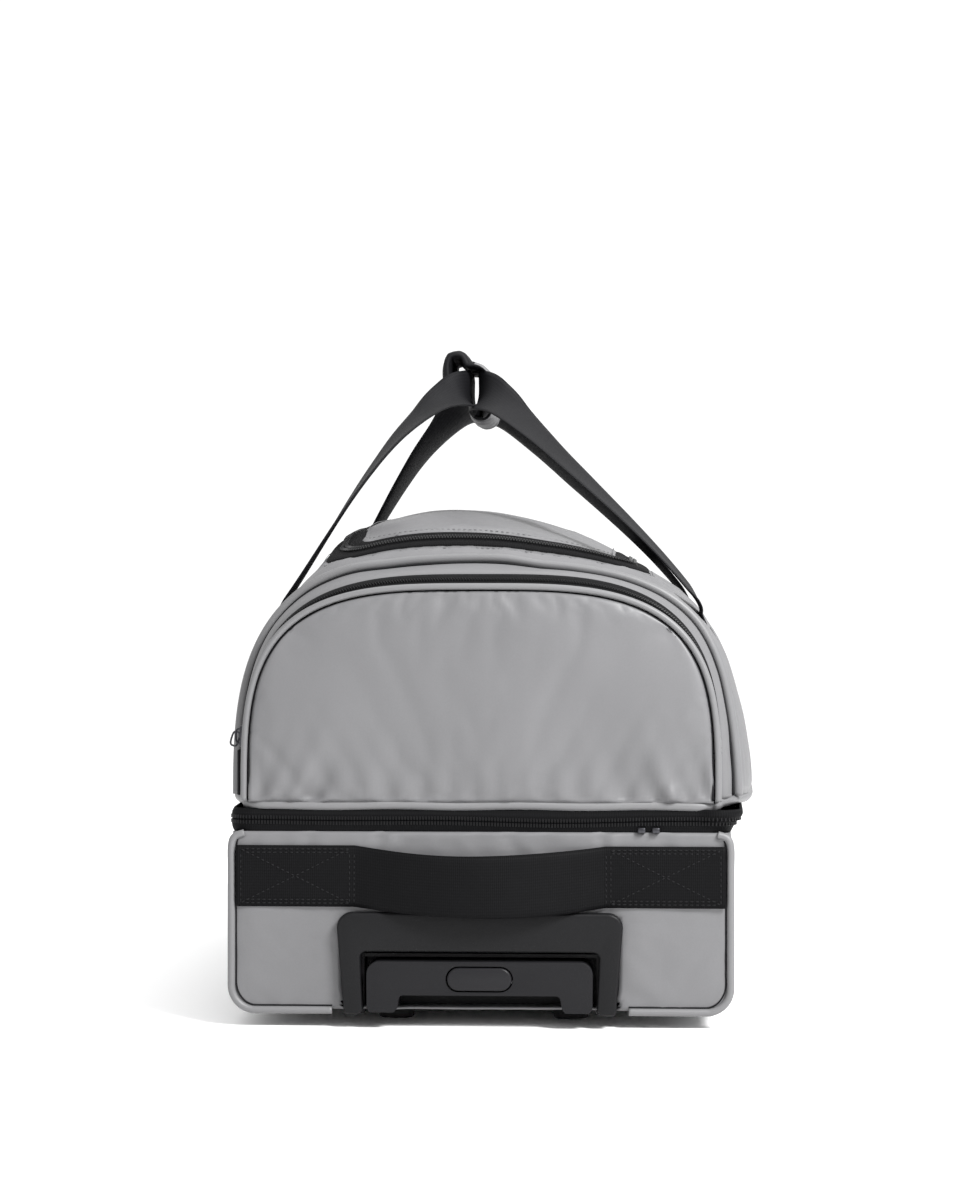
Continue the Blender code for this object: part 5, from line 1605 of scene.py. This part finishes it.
def zip_pull(name, lo, hi, axis, mats_edge, mats_face, body, slot, node):
    """Tab of folded fabric with a darker edge, sewn along its length."""
    c, h = (lo + hi) / 2, (hi - lo) / 2
    edge = rounded(name + "_core", lo.x, hi.x, lo.y, hi.y, lo.z, hi.z, mats_edge, min(h) * 0.75)
    place(edge, body, slot, node)
    e = Vector(h)
    e[axis] += 0.0002
    for k in range(3):
        if k != axis:
            e[k] -= 0.0016
    face = rounded(name + "_face", c.x - e.x, c.x + e.x, c.y - e.y, c.y + e.y, c.z - e.z, c.z + e.z, mats_face, min(e) * 0.6)
    place(face, body, slot)
    return edge


def ring_loop(name, centre, a, b, ra, rb, r, body, mats=None):
    """Wire loop: a and b are the directions of its two half-axes."""
    a, b, c = unit(a), unit(b), np.asarray(centre, float)
    pts = []
    for g in np.linspace(0, 2 * math.pi, 40, endpoint=False):
        ca, sa = math.cos(g), math.sin(g)
        pts.append(c + a * ra * math.copysign(abs(ca) ** 0.6, ca) + b * rb * math.copysign(abs(sa) ** 0.6, sa))
    place(cord(name, pts, r, mats or SLIDER, 8, closed=True), body, "slider_metal")


lo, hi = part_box("pocket_zip_slider")
x1 = -float(half_width(0.018, 0.203)) - 0.0006
body_ = rounded("pocket_slider_body", x1 - 0.0030, x1 + 0.0002, lo.y + 0.0016, hi.y - 0.0016, lo.z, hi.z, SLIDER, 0.0011)
place(body_, "pocket_slider", "slider_metal", "pocket_zip_slider")
bridge = spline([(x1 - 0.0026, Y(0.018), hi.z - 0.0022), (x1 - 0.0056, Y(0.018), hi.z - 0.0030), (x1 - 0.0064, Y(0.018), (lo.z + hi.z) / 2),
                 (x1 - 0.0056, Y(0.018), lo.z + 0.0030), (x1 - 0.0026, Y(0.018), lo.z + 0.0020)], 6)
place(cord("pocket_slider_bridge", bridge, 0.0008, SLIDER, 8), "pocket_slider", "slider_metal")
ring_loop("pocket_slider_loop", (x1 - 0.0068, Y(0.018), lo.z + 0.0056), (0.30, 0, 1), (1, 0, -0.30), 0.0050, 0.0026, 0.0007, "pocket_slider")
lo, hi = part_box("pocket_zip_pull")
hi = Vector((hi.x - 0.0008, hi.y, hi.z))
zip_pull("pocket_pull", lo, hi, 0, PAD_AND_SHADOW_LINES, GREY, "pocket_pull", "fabric_grey", "pocket_zip_pull")

lo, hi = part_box("mid_zip_slider")
place(rounded("rim_slider_body", lo.x, hi.x + 0.0008, lo.y, hi.y, lo.z + 0.0012, hi.z - 0.0012, SLIDER, 0.0012), "mid_slider", "slider_metal", "mid_zip_slider")
b = spline([(lo.x + 0.001, lo.y + 0.003, 0.144), (lo.x - 0.0018, lo.y + 0.0042, 0.144), (lo.x - 0.0022, (lo.y + hi.y) / 2, 0.144),
            (lo.x - 0.0018, hi.y - 0.0042, 0.144), (lo.x + 0.001, hi.y - 0.003, 0.144)], 6)
place(cord("rim_slider_bridge", b, 0.0007, SLIDER, 8), "mid_slider", "slider_metal")
lo2, hi2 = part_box("mid_zip_pull")
ring_loop("rim_slider_loop", ((lo2.x + hi2.x) / 2 - 0.0013, (lo2.y + hi2.y) / 2, 0.1429), (0, 0, 1), (0, 1, 0), 0.0031, 0.0026, 0.0007, "mid_slider")
zip_pull("rim_pull", lo2, hi2, 0, PAD_AND_SHADOW_LINES, GREY, "mid_pull", "fabric_grey", "mid_zip_pull")

# guard strip behind the front run of the rim zip
gx = np.linspace(-0.168, 0.168, 90)
gp = np.stack([gx, Y(0.0072) + 0.0003 * np.sin(gx * 61.0), 0.1440 + 0.0002 * np.sin(gx * 37.0)], 1)
guard = ribbon("rim_zip_guard", gp, np.tile((0.0, 0.0, 1.0), (90, 1)), np.tile((0.0, -1.0, 0.0), (90, 1)), 0.0090, 0.0006, BOARD, cols=5, curl=0.0003)
place(guard, "base", "zip_black")

# two small slider noses of the rim zip rest under the band at the front
for i, x in enumerate((0.1130, 0.1230)):
    place(rounded("rim_slider_nose_%d" % i, x - 0.0028, x + 0.0028, Y(-0.0034), Y(0.0010), 0.1362, 0.1402, SLIDER, 0.0011), "base", "slider_metal")


def lay_on_top(name, xa, xb, da, db, off0, off1, mats, bevel, lift=0.0):
    """Small block that lies along the curved top."""
    d, x = (da + db) / 2, (xa + xb) / 2
    p, n = surface(np.array([d]), np.array([x]), np.array([0.0]))
    p = lean(p)
    n = n[0]
    t = unit(np.array((0.0, 1.0, 0.0)) - n * n[1])
    s = np.cross(t, n)
    v = []
    for a in (-0.5, 0.5):
        for b in (-0.5, 0.5):
            for o in (off0, off1):
                v.append(p[0] + s * a * (xb - xa) + t * b * (db - da) + n * o)
    ob = make(name, v, [(0, 1, 3, 2), (4, 6, 7, 5), (0, 4, 5, 1), (2, 3, 7, 6), (0, 2, 6, 4), (1, 5, 7, 3)], None, mats)
    return bevelled(outward(ob), bevel, 3, 30)


place(lay_on_top("lid_slider_body", -0.1170, -0.1070, 0.6105, 0.6245, 0.0004, 0.0046, SLIDER, 0.0013), "upper_case", "slider_metal", "lid_zip_slider")
place(lay_on_top("lid_slider_bridge", -0.1135, -0.1105, 0.6125, 0.6225, 0.0040, 0.0066, SLIDER, 0.0010), "upper_case", "slider_metal")
place(lay_on_top("lid_pull_core", -0.1165, -0.1075, 0.6306, 0.6560, 0.0018, 0.0040, PAD_AND_SHADOW_LINES, 0.0009), "lid_pull", "fabric_grey", "lid_zip_pull")
place(lay_on_top("lid_pull_face", -0.1151, -0.1089, 0.6320, 0.6544, 0.0016, 0.0042, GREY, 0.0008), "lid_pull", "fabric_grey")

# ------------------------------------------------------------ running gear
def lathe(name, prof, centre, mats, steps=64, axis_x=1.0):
    """Turned piece about an axis along X: prof is (radius, offset along X)."""
    v = []
    for r, o in prof:
        for k in range(steps):
            a = 2 * math.pi * k / steps
            v.append((centre[0] + o * axis_x, centre[1] + r * math.cos(a), centre[2] + r * math.sin(a)))
    f = quads(len(prof), steps, True)
    f += [(((len(prof) - 1) * steps + k), (len(prof) - 1) * steps + (k + 1) % steps, (k + 1) % steps, k) for k in range(steps)]
    ob = outward(make(name, v, f, None, mats))
    return sharp(ob, 32)


for side, sx in (("left", -1), ("right", 1)):
    cx, cy, cz, h, R = sx * 0.146, Y(0.636), 0.0375, 0.0120, 0.0375
    prof = [(0.0276, -h + 0.0012), (0.0300, -h + 0.0004), (0.0335, -h), (0.0358, -h + 0.0012), (0.0371, -h + 0.0040)]
    for g in (-0.0052, 0.0, 0.0052):
        prof += [(R, g - 0.0022), (R, g - 0.0009), (R - 0.0011, g - 0.0005), (R - 0.0011, g + 0.0005), (R, g + 0.0009), (R, g + 0.0022)]
    prof += [(0.0371, h - 0.0040), (0.0358, h - 0.0012), (0.0335, h), (0.0300, h - 0.0004), (0.0276, h - 0.0012)]
    place(lathe("wheel_tyre_" + side, prof, (cx, cy, cz), RUBBER, 72), "wheel_" + side, "tyre_rubber", "tyre_" + side)
    prof = [(0.0047, -h + 0.0002), (0.0092, -h + 0.0002), (0.0102, -h + 0.0012), (0.0108, -h + 0.0042), (0.0225, -h + 0.0046),
            (0.0236, -h + 0.0022), (0.0246, -h + 0.0014), (0.0271, -h + 0.0016), (0.0271, h - 0.0016), (0.0246, h - 0.0014),
            (0.0236, h - 0.0022), (0.0225, h - 0.0046), (0.0108, h - 0.0042), (0.0102, h - 0.0012), (0.0092, h - 0.0002), (0.0047, h - 0.0002)]
    place(lathe("wheel_hub_disc_" + side, prof, (cx, cy, cz), PLASTIC, 64), "wheel_" + side, "plastic_black", "wheel_hub_" + side)
    v, f = [], []
    for k in range(6):
        a0 = math.pi * k / 3
        for face in (-1, 1):
            b = len(v)
            for r, hw in ((0.0103, 0.0020), (0.0232, 0.0032)):
                for o in (h - 0.0048, h - 0.0022):
                    for w in (-hw, hw):
                        y, z = r * math.cos(a0) - w * math.sin(a0), r * math.sin(a0) + w * math.cos(a0)
                        v.append((cx + face * o, cy + y, cz + z))
            f += [(b, b + 1, b + 3, b + 2), (b + 4, b + 6, b + 7, b + 5), (b, b + 4, b + 5, b + 1),
                  (b + 2, b + 3, b + 7, b + 6), (b, b + 2, b + 6, b + 4), (b + 1, b + 5, b + 7, b + 3)]
    place(bevelled(outward(make("wheel_spokes_" + side, v, f, None, PLASTIC)), 0.0005, 2, 30), "wheel_" + side, "plastic_black")
    prof = [(0.0001, 0.0), (0.0026, 0.0), (0.0034, 0.0006), (0.0034, 0.0016), (0.0001, 0.0018)]
    place(lathe("axle_cap_" + side, [(r, o) for r, o in prof], (sx * 0.1660, cy, cz), STEEL, 24, sx), "base", "steel")
    lo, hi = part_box("front_foot_" + side)
    c = (lo + hi) / 2
    foot = []
    for z, k in ((0.0, 0.90), (0.0008, 0.97), (0.0030, 1.0), (0.0085, 1.0), (0.0112, 1.06), (0.0118, 1.06)):
        ringv = []
        for a in np.linspace(0, 2 * math.pi, 40, endpoint=False):
            ca, sa = math.cos(a), math.sin(a)
            ringv.append((c.x + (hi.x - lo.x) / 2 * k * math.copysign(abs(ca) ** 0.55, ca),
                          c.y + (hi.y - lo.y) / 2 * k * math.copysign(abs(sa) ** 0.55, sa), z))
        foot += ringv
    f = quads(6, 40, True) + [tuple(range(40))[::-1], tuple(range(200, 240))]
    place(sharp(outward(make("foot_" + side, foot, f, None, FOOT)), 50), "base", "foot_rubber", "front_foot_" + side)

# kick plate between the wheels, with raised ribs
lo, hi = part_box("rear_kick_plate")
plate_o = arc(lo.x + 0.008, lo.z + 0.008, 0.008, 180, 270) + arc(hi.x - 0.008, lo.z + 0.008, 0.008, 270, 360)
plate_o += arc(hi.x - 0.012, hi.z - 0.012, 0.012, 0, 90) + arc(lo.x + 0.012, hi.z - 0.012, 0.012, 90, 180)
kick = plate("kick_plate", plate_o, [], lo.y, hi.y - 0.0012, PLASTIC, 0.0010, 3)
place(kick, "base", "plastic_black", "rear_kick_plate")
v, f = [], []
for i in range(9):
    z = lo.z + 0.010 + i * 0.0066
    b = len(v)
    pts = [(lo.x + 0.010, z), (hi.x - 0.010, z)]
    for x, zz in pts:
        for y, dz in ((hi.y - 0.0020, -0.0016), (hi.y - 0.0001, -0.0009), (hi.y - 0.0001, 0.0009), (hi.y - 0.0020, 0.0016)):
            v.append((x, y, zz + dz))
    f += [(b, b + 1, b + 5, b + 4), (b + 1, b + 2, b + 6, b + 5), (b + 2, b + 3, b + 7, b + 6), (b + 3, b, b + 4, b + 7),
          (b, b + 3, b + 2, b + 1), (b + 4, b + 5, b + 6, b + 7)]
place(bevelled(outward(make("kick_plate_ribs", v, f, None, PLASTIC)), 0.0004, 2, 30), "base", "plastic_black")


# ------------------------------------------------------------ finish of the carried-over solids
SLOT_OF = {p["node"]: p["material_slot"] for p in frame["record"]["subparts"]}
for name, ob in NODES.items():
    if not ob.hide_render:
        ob.data.materials.clear()
        ob.data.materials.append(FINISH[SLOT_OF[name]])
        ob.data.polygons.foreach_set("material_index", [0] * len(ob.data.polygons))

# ------------------------------------------------------------ stage, light, camera
floor_mat = bpy.data.materials.new("pale_floor")
floor_mat.use_nodes = True
fb = floor_mat.node_tree.nodes["Principled BSDF"]
fb.inputs["Base Color"].default_value = (0.96, 0.96, 0.96, 1)
fb.inputs["Roughness"].default_value = 0.55
fb.inputs["Specular IOR Level"].default_value = 0.25
fn = floor_mat.node_tree.nodes.new("ShaderNodeTexNoise")
fn.inputs["Scale"].default_value = 3.0
fr = floor_mat.node_tree.nodes.new("ShaderNodeMapRange")
fr.inputs["To Min"].default_value, fr.inputs["To Max"].default_value = 0.50, 0.60
floor_mat.node_tree.links.new(fn.outputs["Fac"], fr.inputs["Value"])
floor_mat.node_tree.links.new(fr.outputs[0], fb.inputs["Roughness"])
ring = [(14 * math.cos(a), 14 * math.sin(a), -0.0006) for a in np.linspace(0, 2 * math.pi, 64, endpoint=False)]
floor = make("floor", ring, [tuple(range(64))], None, floor_mat, smooth=False)
floor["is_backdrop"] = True

world = bpy.data.worlds.new("studio")
bpy.context.scene.world = world
world.use_nodes = True
world.node_tree.nodes["Background"].inputs[0].default_value = (1, 1, 1, 1)
world.node_tree.nodes["Background"].inputs[1].default_value = 1.10


def area(name, loc, target, size, watts, colour=(1, 1, 1)):
    data = bpy.data.lights.new(name, "AREA")
    data.shape = "RECTANGLE"
    data.size, data.size_y = size
    data.energy = watts
    data.color = colour
    ob = bpy.data.objects.new(name, data)
    bpy.context.scene.collection.objects.link(ob)
    ob.location = loc
    ob.rotation_euler = (Vector(target) - Vector(loc)).to_track_quat("-Z", "Y").to_euler()
    return ob


area("key", (1.30, FY - 1.20, 1.70), (0.0, FY + 0.05, 0.20), (0.8, 0.7), 128.0)
area("top", (0.2, FY + 0.55, 2.2), (0.0, FY + 0.30, 0.30), (2.0, 2.0), 22.0)

YAW = math.radians(3.0)
cam_data = bpy.data.cameras.new("camera")
cam_data.sensor_width = 36.0
cam_data.lens = 85.7
cam_data.clip_start, cam_data.clip_end = 0.05, 60
camera = bpy.data.objects.new("camera", cam_data)
bpy.context.scene.collection.objects.link(camera)
camera.location = (2.0 * math.sin(YAW), FY - 2.0 * math.cos(YAW), 0.299)
turn = YAW - math.atan(3.5 / 2857)
camera.rotation_euler = (math.pi / 2, 0.0, turn)
bpy.context.scene.camera = camera
bpy.context.scene.view_settings.view_transform = "Standard"
bpy.context.scene.view_settings.look = "None"

lo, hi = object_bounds()
